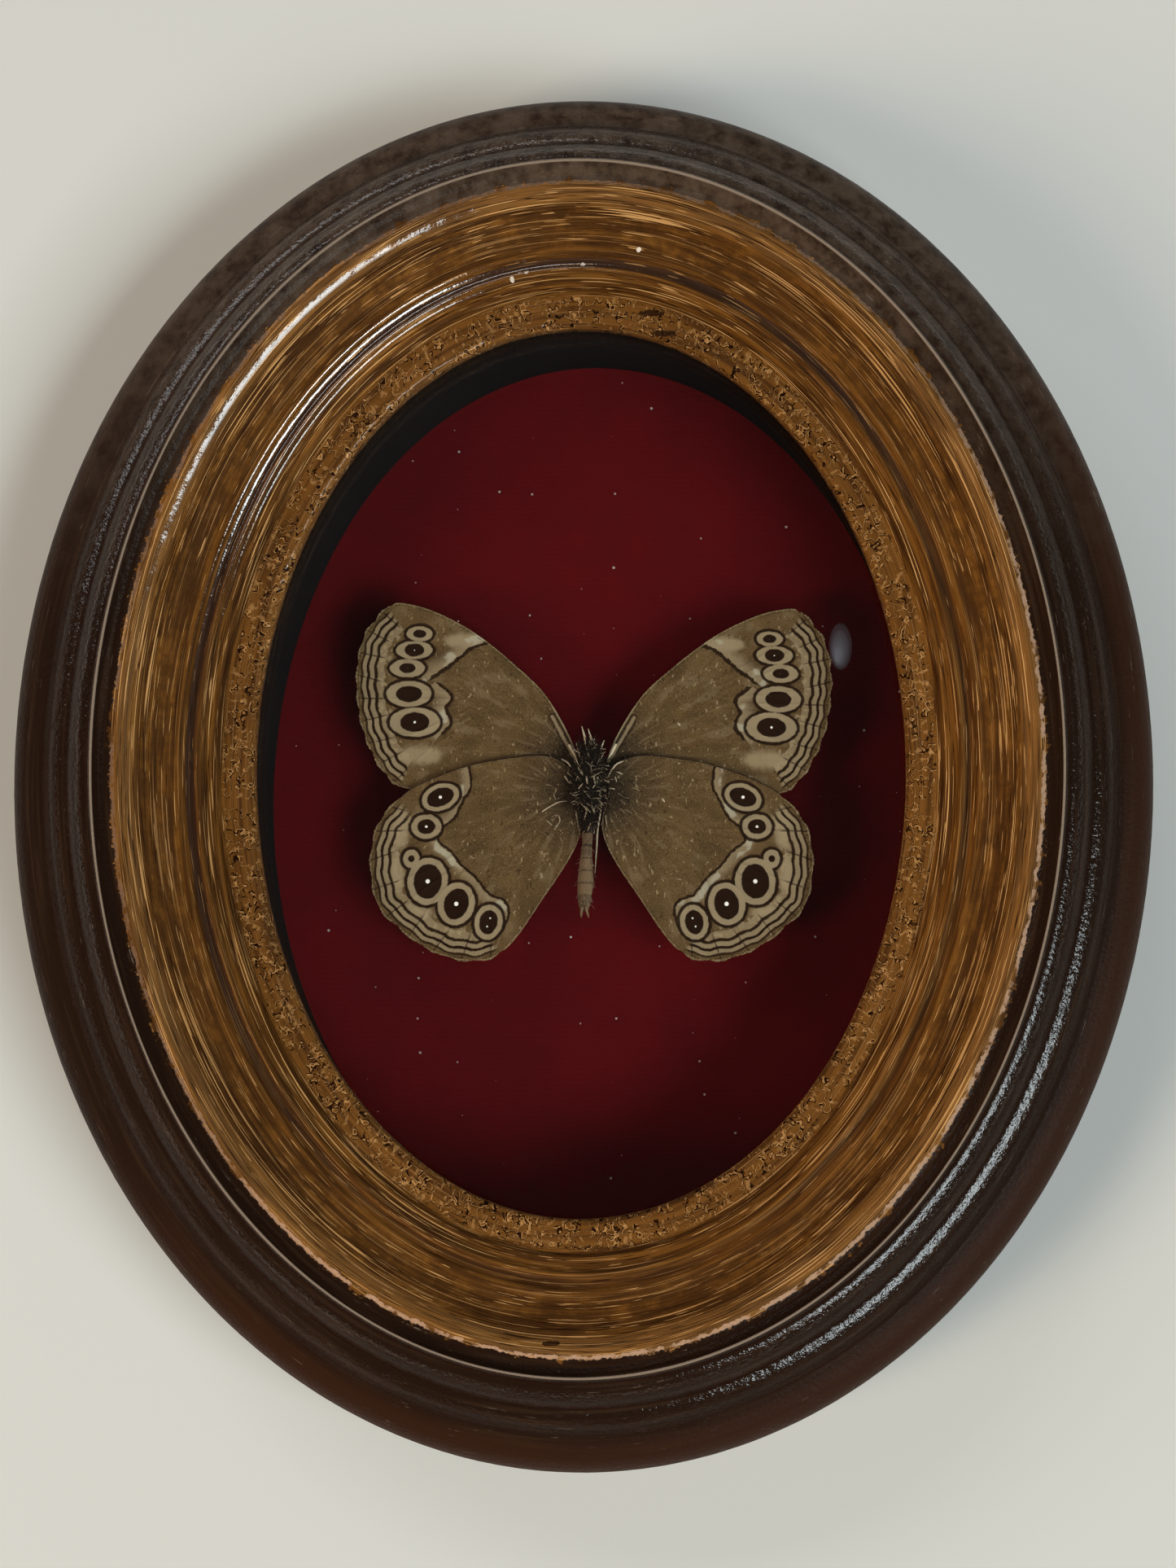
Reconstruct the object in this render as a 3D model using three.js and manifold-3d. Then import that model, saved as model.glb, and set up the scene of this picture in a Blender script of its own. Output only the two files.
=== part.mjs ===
// A small oval picture frame, turned in wood, with a mounted butterfly behind glass.
// Millimetres, +Z up. The wall is the plane y = 0 and the front of the frame faces -Y.
// The origin is the point on the wall where the hanger's middle notch rests on its nail.
import * as THREE from 'three';
import { mergeVertices } from 'three/addons/utils/BufferGeometryUtils.js';
import Module from 'manifold-3d';

const wasm = await Module();
wasm.setup();

// Driving dimensions of the oval
const LONG_EXTRA = 13.7; // every oval is this much longer in its upright half axis
const RING_STEPS = 56; // faces round an oval
const CENTRE_Z = -45; // middle of the oval, below the nail
const TOUCH_GAP = 0.3; // gap kept between two pieces that touch

// The frame's section, as [half width, height above the wall]
const REBATE_RADIUS = 42.9;
const LIP_BACK = 16.1;
const SIGHT_RADIUS = 36.5;
const BACK_RIM = [[43.3, 0], [57.4, 0]];
const OUTER_SIDE = [[61.4, 1.3], [64.2, 4.0], [65.4, 7.2], [65.6, 9.7], [65.2, 12.0], [63.9, 13.7], [62.3, 14.4]];
const OUTER_BEAD = [[61.7, 14.3], [61.3, 15.3], [60.6, 15.4]];
const FIRST_WAVE = [[59.9, 17.0], [58.9, 17.9], [58.0, 18.1], [57.3, 17.8]];
const SECOND_WAVE = [[56.5, 19.8], [55.5, 21.2], [54.4, 22.0], [53.9, 22.1]];
const CREST = [[53.6, 23.4], [53.2, 23.8], [52.8, 23.4], [52.1, 22.6]];
const GILT_SLOPE = [[51.0, 22.9], [49.6, 22.7], [48.2, 21.7], [47.0, 20.4], [45.8, 19.4], [44.6, 19.0]];
const INNER_BEAD = [[43.9, 19.5], [43.1, 20.0], [42.2, 19.9], [41.4, 19.1]];
const LIP = [[40.6, 18.7], [40.2, 18.2], [38.8, 18.1], [37.0, 18.0], [SIGHT_RADIUS, 17.6]];
const REBATE = [[SIGHT_RADIUS, LIP_BACK], [REBATE_RADIUS, LIP_BACK], [REBATE_RADIUS, 0.4]];
const FRAME_SECTION = [
  ...BACK_RIM, ...OUTER_SIDE, ...OUTER_BEAD, ...FIRST_WAVE, ...SECOND_WAVE,
  ...CREST, ...GILT_SLOPE, ...INNER_BEAD, ...LIP, ...REBATE,
];

// What lies in the rebate, from the front to the back, as heights above the wall
const INSERT_RADIUS = 42.4;
const GLASS_FRONT = LIP_BACK - TOUCH_GAP;
const GLASS_BACK = GLASS_FRONT - 2;
const GLASS_BEVEL = 0.25;
const SPACER_FRONT = GLASS_BACK - TOUCH_GAP;
const SPACER_BACK = 4.9;
const SPACER_INNER = 37.8;
const SPACER_OUTER = 40.2;
const SPACER_SLIP = [1.08, -2.0]; // the loose ring has slipped right and down
const VELVET_FRONT = SPACER_BACK - TOUCH_GAP;
const VELVET_BACK = VELVET_FRONT - 0.5;
const BOARD_FRONT = VELVET_BACK - TOUCH_GAP;
const BOARD_BACK = BOARD_FRONT - 1.4;

// The flat points that hold the board in, and the slots in the wood that they are pressed into
const POINT_ANGLES = [22, 90, 158, 202, 270, 338];
const POINT_SIZE = [3.6, 7, 0.45];
const POINT_FRONT = BOARD_BACK - TOUCH_GAP;
const POINT_REACH = 3.4; // how far a point stands out over the board

// The notched hanger on the board, and its nails
const HANGER_LENGTH = 30;
const HANGER_WIDTH = 7;
const HANGER_SHEET = 0.45;
const HANGER_PAD = 5;
const HANGER_RAISE = 0.9;
const HANGER_NOTCHES = 7;
const NOTCH_PITCH = 2;
const NOTCH_DEPTH = 1.1;
const NAIL_SHANK = 0.45;
const NAIL_HEAD = 1.2;

// The butterfly, with its underside to the front. Its own origin is the middle of the thorax
const BUTTERFLY_X = 0.9;
const BUTTERFLY_Z = -0.9;
const FOREWING_HEIGHT = 9.9;
const HINDWING_HEIGHT = 10.55;
const WING_SHEET = 0.3;
const WING_DROOP = 0.45; // how far a wing tip lies behind its root
const WING_REACH = 27.3;
const RIGHT_FOREWING_TURN = -1.7; // degrees, the right forewing is set a little lower
const BODY_HEIGHT = 10.9;
const STALK_STEPS = 4;
const PIN_RADIUS = 0.3;
const PIN_HOLE = 0.65;
const PIN_TOP = BODY_HEIGHT - 0.6;
const PIN_FOOT = BOARD_BACK + 0.35;

// Wing outlines of one side, from the root along the front edge and round, [out, up]
const FOREWING_OUTLINE = [
  [2.0, 4.3], [5.1, 10.1], [8.8, 13.9], [13.5, 17.7], [18.1, 20.2], [21.5, 21.2], [23.4, 21.1],
  [25.2, 19.4], [26.6, 17.2], [27.2, 14.4], [27.3, 11.5], [26.8, 7.5], [25.6, 4.1], [24.0, 1.5],
  [21.8, -0.2], [17.5, -0.3], [12.0, 0.4], [6.0, 1.1], [2.2, 2.0],
];
const HINDWING_OUTLINE = [
  [2.0, 1.3], [3.6, 2.8], [5.4, 3.4], [8.2, 3.3], [12.8, 2.6], [16.2, 1.6], [19.4, 0.3],
  [22.0, -1.3], [24.5, -4.3], [25.4, -7.8], [25.3, -10.9], [24.4, -14.1], [22.2, -16.4],
  [19.3, -18.6], [15.8, -20.0], [12.4, -20.2], [10.1, -19.1], [8.1, -16.9], [5.3, -12.7],
  [3.2, -9.6], [1.6, -6.6], [1.2, -4.2], [1.9, -1.0],
];
const WING_EDGE_STEPS = 64;

const finishes = {
  gilt: { color: 0x6a4518, roughness: 0.45, metalness: 0.4 },
  glass: { color: 0xdfe6e2, roughness: 0.05, metalness: 0, transparent: true, opacity: 0.3 },
  black: { color: 0x15110f, roughness: 0.85, metalness: 0 },
  velvet: { color: 0x4a0c10, roughness: 1, metalness: 0 },
  card: { color: 0x6f5336, roughness: 0.9, metalness: 0 },
  brass: { color: 0x8d7440, roughness: 0.4, metalness: 1 },
  steel: { color: 0x77767a, roughness: 0.4, metalness: 1 },
  wing: { color: 0x7a6a4c, roughness: 0.8, metalness: 0 },
  body: { color: 0x33291f, roughness: 0.9, metalness: 0 },
};

function bare(geometry) {
  geometry.deleteAttribute('normal');
  geometry.deleteAttribute('uv');
  return geometry;
}

function toSolid(geometry) {
  const merged = mergeVertices(bare(geometry.clone()), 1e-5);
  return new wasm.Manifold(new wasm.Mesh({
    numProp: 3,
    vertProperties: new Float32Array(merged.attributes.position.array),
    triVerts: new Uint32Array(merged.index.array),
  }));
}

function toGeometry(solid) {
  const mesh = solid.getMesh();
  const geometry = new THREE.BufferGeometry();
  geometry.setAttribute('position', new THREE.BufferAttribute(mesh.vertProperties, 3));
  geometry.setIndex(new THREE.BufferAttribute(mesh.triVerts, 1));
  return geometry;
}

function join(geometries) {
  const solids = geometries.map(toSolid);
  return toGeometry(solids.reduce((whole, piece) => whole.add(piece)));
}

function cut(geometry, tools) {
  const start = toSolid(geometry);
  return toGeometry(tools.map(toSolid).reduce((rest, tool) => rest.subtract(tool), start));
}

function piece(name, geometry, finish) {
  const mesh = new THREE.Mesh(geometry, new THREE.MeshStandardMaterial(finishes[finish]));
  mesh.name = name;
  return mesh;
}

// A closed section swept round the oval. upright(r) is the upright half axis at half width r
function ovalLathe(section, upright) {
  const points = section.map(([r, h]) => new THREE.Vector2(r, h));
  const geometry = bare(new THREE.LatheGeometry(points, RING_STEPS));
  const place = geometry.attributes.position;
  for (let i = 0; i < place.count; i += 1) {
    const r = Math.hypot(place.getX(i), place.getZ(i));
    if (r > 0.001) {
      place.setZ(i, place.getZ(i) * upright(r) / r);
    }
  }
  geometry.rotateX(Math.PI);
  return geometry;
}

function ovalRing(section) {
  const closed = [...section, section[0]];
  return ovalLathe(closed, (r) => r + LONG_EXTRA);
}

function ovalDisc(radius, back, front, bevel) {
  const section = [
    [0, back], [radius - bevel, back], [radius, back + bevel],
    [radius, front - bevel], [radius - bevel, front], [0, front],
  ];
  return ovalLathe(section, (r) => r * (radius + LONG_EXTRA) / radius);
}

// An upright cylinder of the front-to-back direction, between two heights above the wall
function post(radius, low, high, x, z, sides = 12) {
  const geometry = new THREE.CylinderGeometry(radius, radius, high - low, sides);
  return geometry.translate(x, -(low + high) / 2, z);
}

function slab(width, height, low, high) {
  const geometry = new THREE.BoxGeometry(width, high - low, height);
  return geometry.translate(0, -(low + high) / 2, 0);
}

// A flat point lies across the rebate wall at an angle round the oval
function pointAt(degrees, grow) {
  const angle = THREE.MathUtils.degToRad(degrees);
  const [width, length, sheet] = POINT_SIZE;
  const geometry = slab(length + 2 * grow, width + 2 * grow, POINT_FRONT - sheet - grow, POINT_FRONT + grow);
  const outward = new THREE.Vector2(
    Math.cos(angle) * (REBATE_RADIUS + LONG_EXTRA), Math.sin(angle) * REBATE_RADIUS,
  );
  geometry.translate(length / 2 - POINT_REACH, 0, 0);
  geometry.rotateY(-outward.angle());
  return geometry.translate(
    Math.cos(angle) * REBATE_RADIUS, 0, Math.sin(angle) * (REBATE_RADIUS + LONG_EXTRA),
  );
}

// A strip with flat end pads and a raised middle, notched along the middle's lower edge
function hangerStrip() {
  const pad = POINT_FRONT;
  const half = HANGER_LENGTH / 2;
  const bend = half - HANGER_PAD;
  const top = pad - HANGER_RAISE;
  const shape = new THREE.Shape([
    new THREE.Vector2(-half, pad), new THREE.Vector2(-bend, pad),
    new THREE.Vector2(-bend + 1, top), new THREE.Vector2(bend - 1, top),
    new THREE.Vector2(bend, pad), new THREE.Vector2(half, pad),
    new THREE.Vector2(half, pad - HANGER_SHEET), new THREE.Vector2(bend - 0.2, pad - HANGER_SHEET),
    new THREE.Vector2(bend - 1.2, top - HANGER_SHEET), new THREE.Vector2(-bend + 1.2, top - HANGER_SHEET),
    new THREE.Vector2(-bend + 0.2, pad - HANGER_SHEET), new THREE.Vector2(-half, pad - HANGER_SHEET),
  ]);
  const strip = new THREE.ExtrudeGeometry(shape, { depth: HANGER_WIDTH, bevelEnabled: false });
  strip.rotateX(Math.PI);
  // The middle notch's top is at the origin, so the strip's lower edge is one notch below it
  strip.translate(0, 0, HANGER_WIDTH - NOTCH_DEPTH);
  const notches = Array.from({ length: HANGER_NOTCHES }, (_, i) => {
    const x = (i - (HANGER_NOTCHES - 1) / 2) * NOTCH_PITCH;
    const tooth = new THREE.Shape([
      new THREE.Vector2(x - 0.8, -NOTCH_DEPTH - 0.5), new THREE.Vector2(x + 0.8, -NOTCH_DEPTH - 0.5),
      new THREE.Vector2(x + 0.25, 0), new THREE.Vector2(x - 0.25, 0),
    ]);
    const notch = new THREE.ExtrudeGeometry(tooth, { depth: pad, bevelEnabled: false });
    return notch.rotateX(Math.PI / 2);
  });
  return { strip, notches };
}

function hangerNails() {
  const x = (HANGER_LENGTH - HANGER_PAD) / 2;
  const z = HANGER_WIDTH / 2 - NOTCH_DEPTH;
  return [[-x, z], [x, z]];
}

function nail([x, z]) {
  const headBack = POINT_FRONT - HANGER_SHEET - TOUCH_GAP;
  return join([
    post(NAIL_HEAD, headBack - 0.4, headBack, x, z, 14),
    post(NAIL_SHANK, headBack - 0.2, BOARD_BACK + 0.8, x, z, 10),
  ]);
}

// A smooth closed outline through the given points, mirrored for the left side
function wingShape(outline, side) {
  const curve = new THREE.CatmullRomCurve3(
    outline.map(([x, z]) => new THREE.Vector3(side * x, z, 0)), true, 'centripetal',
  );
  return new THREE.Shape(curve.getSpacedPoints(WING_EDGE_STEPS).slice(0, -1).map(
    (p) => new THREE.Vector2(p.x, p.y),
  ));
}

function wing(outline, side, height, turn) {
  const shape = wingShape(outline, side);
  const geometry = new THREE.ExtrudeGeometry(shape, { depth: WING_SHEET, bevelEnabled: false });
  geometry.rotateX(Math.PI / 2);
  geometry.rotateY(-THREE.MathUtils.degToRad(turn));
  const place = geometry.attributes.position;
  for (let i = 0; i < place.count; i += 1) {
    const out = Math.abs(place.getX(i)) / WING_REACH;
    place.setY(i, place.getY(i) + WING_DROOP * out * out - height + WING_SHEET);
  }
  return geometry;
}

function blob(width, depth, length, x, height, z) {
  const geometry = new THREE.SphereGeometry(1, 14, 10);
  geometry.scale(width, depth, length);
  return geometry.translate(x, -height, z);
}

// A thin leg or palp along a bent line of [x, height above the wall, z]
function stalk(points, radius) {
  const path = new THREE.CatmullRomCurve3(points.map(([x, h, z]) => new THREE.Vector3(x, -h, z)));
  const section = new THREE.Shape();
  section.absarc(0, 0, radius, 0, Math.PI * 2);
  return new THREE.ExtrudeGeometry(section, { curveSegments: 3, steps: STALK_STEPS, extrudePath: path });
}

// The abdomen's half width along its length, from the thorax to the tip
function abdomen() {
  const radii = [
    [0, 0], [0.55, 0.3], [0.6, 2.5], [0.55, 4.5], [0.75, 7],
    [0.85, 8.6], [0.75, 10.4], [0.6, 11.6], [0, 11.9],
  ];
  const geometry = new THREE.LatheGeometry(radii.map(([r, l]) => new THREE.Vector2(r, l)), 10);
  geometry.rotateX(-Math.PI / 2);
  geometry.rotateY(THREE.MathUtils.degToRad(2.5));
  return geometry.translate(-0.3, -BODY_HEIGHT, -2.7);
}

function butterflyBody() {
  const h = BODY_HEIGHT;
  const whole = join([
    blob(1.65, 1.7, 3.2, -0.2, h, 0.2),
    blob(1.05, 1.05, 1.0, -0.2, h + 0.2, 3.5),
    abdomen(),
    stalk([[-0.4, h + 0.5, 3.6], [-0.7, h + 0.6, 5.0], [-1.2, h + 0.7, 6.9]], 0.16),
    stalk([[0.1, h + 0.5, 3.6], [-0.2, h + 0.6, 5.0], [-0.6, h + 0.7, 6.6]], 0.16),
    stalk([[0.2, h + 0.6, 2.6], [0.6, h + 0.8, 4.0], [1.2, h + 0.9, 5.4]], 0.14),
    stalk([[-1.0, h + 1.0, -1.2], [-1.6, h + 1.3, -3.3], [-1.5, h + 1.0, -5.8]], 0.15),
    stalk([[0.8, h + 1.1, -0.6], [1.0, h + 1.5, -2.9], [0.4, h + 1.2, -6.5], [0.4, h + 0.8, -10.8]], 0.15),
    stalk([[-0.6, h + 1.2, -1.6], [-0.9, h + 1.5, -3.0], [-0.7, h + 1.3, -4.4]], 0.15),
    stalk([[-0.95, h, -14.2], [-1.1, h, -15.0], [-1.15, h, -15.4]], 0.18),
    stalk([[-0.55, h, -14.2], [-0.4, h, -15.0], [-0.3, h, -15.4]], 0.18),
  ]);
  return cut(whole, [post(PIN_HOLE, VELVET_FRONT, PIN_TOP + TOUCH_GAP, 0, 0)]);
}

// The pin's hole, in the frame's own axes
function pinHole(low, high) {
  return post(PIN_HOLE, low, high, BUTTERFLY_X, BUTTERFLY_Z);
}

const frameWood = cut(
  ovalRing(FRAME_SECTION),
  POINT_ANGLES.map((degrees) => pointAt(degrees, TOUCH_GAP)),
);
const glassPane = ovalDisc(INSERT_RADIUS, GLASS_BACK, GLASS_FRONT, GLASS_BEVEL);
const spacerRing = ovalRing([
  [SPACER_INNER, SPACER_BACK], [SPACER_OUTER, SPACER_BACK],
  [SPACER_OUTER, SPACER_FRONT], [SPACER_INNER, SPACER_FRONT],
]);
spacerRing.translate(SPACER_SLIP[0], 0, SPACER_SLIP[1]);

const nailHoles = hangerNails().map(([x, z]) => (
  post(NAIL_SHANK + TOUCH_GAP, 0, BOARD_BACK + 1.1, x, z - CENTRE_Z)
));
const velvetGround = cut(
  ovalDisc(INSERT_RADIUS, VELVET_BACK, VELVET_FRONT, 0.1),
  [pinHole(VELVET_BACK - 1, VELVET_FRONT + 1)],
);
const backingBoard = cut(
  ovalDisc(INSERT_RADIUS, BOARD_BACK, BOARD_FRONT, 0.15),
  [pinHole(PIN_FOOT - TOUCH_GAP, BOARD_FRONT + 1), ...nailHoles],
);

const { strip, notches } = hangerStrip();
const stripHoles = hangerNails().map(([x, z]) => post(NAIL_SHANK + TOUCH_GAP, 0, BOARD_BACK, x, z));

const caseGroup = new THREE.Group();
caseGroup.position.set(0, 0, CENTRE_Z);
caseGroup.add(
  piece('frame', frameWood, 'gilt'),
  piece('glass', glassPane, 'glass'),
  piece('spacer_ring', spacerRing, 'black'),
  piece('velvet', velvetGround, 'velvet'),
  piece('backing_board', backingBoard, 'card'),
  piece('mounting_pin', post(PIN_RADIUS, PIN_FOOT, PIN_TOP, BUTTERFLY_X, BUTTERFLY_Z), 'steel'),
);
POINT_ANGLES.forEach((degrees, i) => {
  caseGroup.add(piece(`retaining_point_${i + 1}`, pointAt(degrees, 0), 'steel'));
});

const butterfly = new THREE.Group();
butterfly.position.set(BUTTERFLY_X, 0, BUTTERFLY_Z);
butterfly.add(
  piece('butterfly_body', butterflyBody(), 'body'),
  piece('forewing_left', wing(FOREWING_OUTLINE, -1, FOREWING_HEIGHT, 0), 'wing'),
  piece('forewing_right', wing(FOREWING_OUTLINE, 1, FOREWING_HEIGHT, RIGHT_FOREWING_TURN), 'wing'),
  piece('hindwing_left', wing(HINDWING_OUTLINE, -1, HINDWING_HEIGHT, 0), 'wing'),
  piece('hindwing_right', wing(HINDWING_OUTLINE, 1, HINDWING_HEIGHT, 0), 'wing'),
);
caseGroup.add(butterfly);

const specimen = new THREE.Group();
specimen.add(caseGroup);
specimen.add(piece('hanger', cut(strip, [...notches, ...stripHoles]), 'brass'));
hangerNails().forEach((place, i) => {
  specimen.add(piece(`hanger_nail_${i + 1}`, nail(place), 'steel'));
});

export default specimen;
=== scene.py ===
# %% [markdown]
# # A framed butterfly
# This script dresses the model of a small oval frame that holds a mounted butterfly.
# The solids come in as the frame: they say where every piece is and how big it is.
# Each step below makes one piece or one finish in millimetres and turns it into metres at the end.

# %% Load the solids
import math
from types import SimpleNamespace
import bpy
import numpy as np
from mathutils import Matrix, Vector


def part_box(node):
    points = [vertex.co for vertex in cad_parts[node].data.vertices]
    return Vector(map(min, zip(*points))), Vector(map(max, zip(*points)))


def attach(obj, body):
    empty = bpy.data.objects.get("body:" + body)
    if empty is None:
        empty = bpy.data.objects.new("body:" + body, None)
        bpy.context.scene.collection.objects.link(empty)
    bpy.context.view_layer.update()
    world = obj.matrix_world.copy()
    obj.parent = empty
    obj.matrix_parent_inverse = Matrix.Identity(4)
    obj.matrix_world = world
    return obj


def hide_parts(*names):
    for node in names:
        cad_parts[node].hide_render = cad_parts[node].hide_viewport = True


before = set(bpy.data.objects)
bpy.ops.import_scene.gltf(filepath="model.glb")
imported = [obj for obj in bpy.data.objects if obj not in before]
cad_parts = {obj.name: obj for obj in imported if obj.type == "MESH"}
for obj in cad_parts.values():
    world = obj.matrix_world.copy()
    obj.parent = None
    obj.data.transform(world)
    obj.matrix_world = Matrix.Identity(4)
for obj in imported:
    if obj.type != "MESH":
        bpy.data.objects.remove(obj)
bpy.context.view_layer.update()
MM = 0.001

# %% [markdown]
# ## Where things are
# The oval runs along the wall plane y = 0, and heights above the wall point to -Y.
# Every oval of the frame is longer than wide by the same amount, because a turner keeps
# the moulding's width the same all round. That amount is read from the frame's own box.

# %% Places and sizes from the solids
def box_mm(name):
    low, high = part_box(name)
    return np.array(low) / MM, np.array(high) / MM


frame_low, frame_high = box_mm("frame")
HALF_WIDTH = (frame_high[0] - frame_low[0]) / 2
CENTRE_Z = (frame_high[2] + frame_low[2]) / 2
LONG_EXTRA = (frame_high[2] - frame_low[2]) / 2 - HALF_WIDTH
print(f"frame half width {HALF_WIDTH:.1f} mm, upright half axis longer by {LONG_EXTRA:.1f} mm")

# %% [markdown]
# ## Camera
# The camera stands where the photo was taken from, a little below the middle of the frame.
# It looks slightly upwards, and its shift keeps the upright lines upright. It comes first, so
# that every later piece can be judged from the right place.

# %% Camera
CAMERA_PLACE = (0.01372, -0.250, -0.07961)
CAMERA_TILT = 92.7
camera_data = bpy.data.cameras.new("camera")
camera_data.lens = 48.0
camera_data.sensor_width = 36.0
camera_data.shift_x = -0.0735
camera_data.shift_y = 0.125
camera_data.clip_start = 0.01
camera = bpy.data.objects.new("camera", camera_data)
camera.location = CAMERA_PLACE
camera.rotation_euler = (math.radians(CAMERA_TILT), 0, 0)
bpy.context.scene.collection.objects.link(camera)
bpy.context.scene.camera = camera
bpy.context.scene.view_settings.view_transform = "Standard"

# %% [markdown]
# ## Small helpers for node trees
# Materials and Geometry Nodes are both trees of nodes. A node could be made with many
# lines of its own, but one short function that makes, sets and links a node keeps the
# steps readable, so both kinds of tree use it.

# %% Node helpers
def fill(tree, socket, value):
    if isinstance(value, bpy.types.NodeSocket):
        tree.links.new(value, socket)
    else:
        socket.default_value = value


def node(tree, kind, sockets=None, **settings):
    made = tree.nodes.new(kind)
    for name, value in settings.items():
        setattr(made, name, value)
    for key, value in (sockets or {}).items():
        fill(tree, made.inputs[key], value)
    return made


def calc(tree, operation, *terms):
    return node(tree, "ShaderNodeMath", dict(enumerate(terms)), operation=operation).outputs[0]


def times(tree, first, *others):
    for other in others:
        first = calc(tree, "MULTIPLY", first, other)
    return first


def vector_calc(tree, operation, *terms):
    return node(tree, "ShaderNodeVectorMath", dict(enumerate(terms)), operation=operation).outputs[0]


def stretch(tree, place, factors):
    return vector_calc(tree, "MULTIPLY", place, factors)


def noise(tree, place, scale, detail=2.0, rough=0.5, bend=0.0):
    sockets = {"Vector": place, "Scale": scale, "Detail": detail, "Roughness": rough, "Distortion": bend}
    return node(tree, "ShaderNodeTexNoise", sockets).outputs[0]


def rise(tree, value, low, high):
    """0 below low, 1 above high, smooth between. With low above high it falls instead."""
    sockets = {"Value": value, "From Min": low, "From Max": high}
    return node(tree, "ShaderNodeMapRange", sockets, interpolation_type="SMOOTHSTEP").outputs[0]


def near(tree, value, centre, half, soft):
    """1 where value is within half of centre, falling to 0 over the width soft."""
    off = calc(tree, "ABSOLUTE", calc(tree, "SUBTRACT", value, centre))
    return rise(tree, off, half + soft, half)


def blend(tree, factor, first, second, how="MIX"):
    made = node(tree, "ShaderNodeMix", data_type="RGBA", blend_type=how)
    fill(tree, made.inputs[0], factor)
    fill(tree, made.inputs[6], first)
    fill(tree, made.inputs[7], second)
    return made.outputs[2]


def separate(tree, vector):
    return node(tree, "ShaderNodeSeparateXYZ", {0: vector}).outputs


def combine(tree, x, y, z):
    return node(tree, "ShaderNodeCombineXYZ", {0: x, 1: y, 2: z}).outputs[0]

# %% [markdown]
# ## Small helpers for materials
# A colour is easiest to judge as it looks on a screen, so colours are given that way. Patterns
# are placed in millimetres on the object, so that they keep their size on every piece.

# %% Material helpers
def colour(red, green, blue):
    """A colour given as it looks on a screen, 0 to 255, for a shader."""
    def linear(v):
        v = v / 255
        return v / 12.92 if v <= 0.04045 else ((v + 0.055) / 1.055) ** 2.4
    return (linear(red), linear(green), linear(blue), 1)


def new_material(name, **values):
    """A material, its tree and its main shader, with uniform values set by socket name."""
    made = bpy.data.materials.new(name)
    made.use_nodes = True
    tree = made.node_tree
    skin = tree.nodes["Principled BSDF"]
    for key, value in values.items():
        skin.inputs[key.replace("_", " ")].default_value = value
    return made, tree, skin


def place_mm(tree):
    place = node(tree, "ShaderNodeTexCoord").outputs["Object"]
    return node(tree, "ShaderNodeVectorMath", {0: place, "Scale": 1 / MM}, operation="SCALE").outputs[0]


def stored(tree, name):
    made = node(tree, "ShaderNodeAttribute", attribute_name=name)
    return made.outputs["Fac"]


def stored_vector(tree, name):
    made = node(tree, "ShaderNodeAttribute", attribute_name=name)
    return made.outputs["Vector"]


def relief(tree, skin, height_mm, strength=1.0, sockets=("Normal",)):
    """Bump from a height in millimetres."""
    made = node(tree, "ShaderNodeBump", {"Strength": strength, "Distance": MM, "Height": height_mm})
    for socket in sockets:
        tree.links.new(made.outputs[0], skin.inputs[socket])

# %% [markdown]
# ## Small helpers for meshes
# A mesh that numbers describe is made from points in millimetres. Every finished piece is told
# apart by its name, stands for one solid, and prints its triangles and its volume, which is
# above zero only when the skin is closed the right way round.

# %% Mesh helpers
def make_piece(name, points_mm, faces, material, smooth=True):
    """A mesh object at the origin, its points given in millimetres."""
    mesh = bpy.data.meshes.new(name)
    mesh.from_pydata((np.asarray(points_mm) * MM).tolist(), [], faces)
    mesh.update()
    if smooth:
        mesh.shade_smooth()
    else:
        mesh.shade_flat()
    mesh.materials.append(material)
    made = bpy.data.objects.new(name, mesh)
    bpy.context.scene.collection.objects.link(made)
    return made


def volume_mm3(piece):
    """Signed volume: above zero when the faces of a closed mesh point outwards."""
    mesh = piece.data
    mesh.calc_loop_triangles()
    points = np.empty(len(mesh.vertices) * 3)
    mesh.vertices.foreach_get("co", points)
    points = points.reshape(-1, 3) / MM
    corners = np.empty(len(mesh.loop_triangles) * 3, dtype=int)
    mesh.loop_triangles.foreach_get("vertices", corners)
    a, b, c = (points[corners.reshape(-1, 3)[:, k]] for k in range(3))
    return float(np.einsum("ij,ij->i", a, np.cross(b, c)).sum() / 6)


def report_piece(piece):
    mesh = piece.data
    mesh.calc_loop_triangles()
    print(f"{piece.name}: {len(mesh.loop_triangles)} triangles, volume {volume_mm3(piece):.1f} mm3")


def finish_piece(piece, node_names):
    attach(piece, "root")
    if node_names:
        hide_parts(*node_names)
    report_piece(piece)

# %% [markdown]
# ## The moulding's section
# The frame is one piece of wood. A turner cuts its section with a few tools: a rounded outer
# side, a thin bead, two waves, a raised crest, a gilded slope, a glossy inner bead, and a
# flat lip round the opening. It could be drawn by hand round the oval, but a section that is
# carried round by a rule gives the same even ring that a lathe gives.
# Each part is a few points, [half width, height above the wall], joined by a smooth curve.
# A part starts where the last one ends, so there is a crease between two parts.

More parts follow.
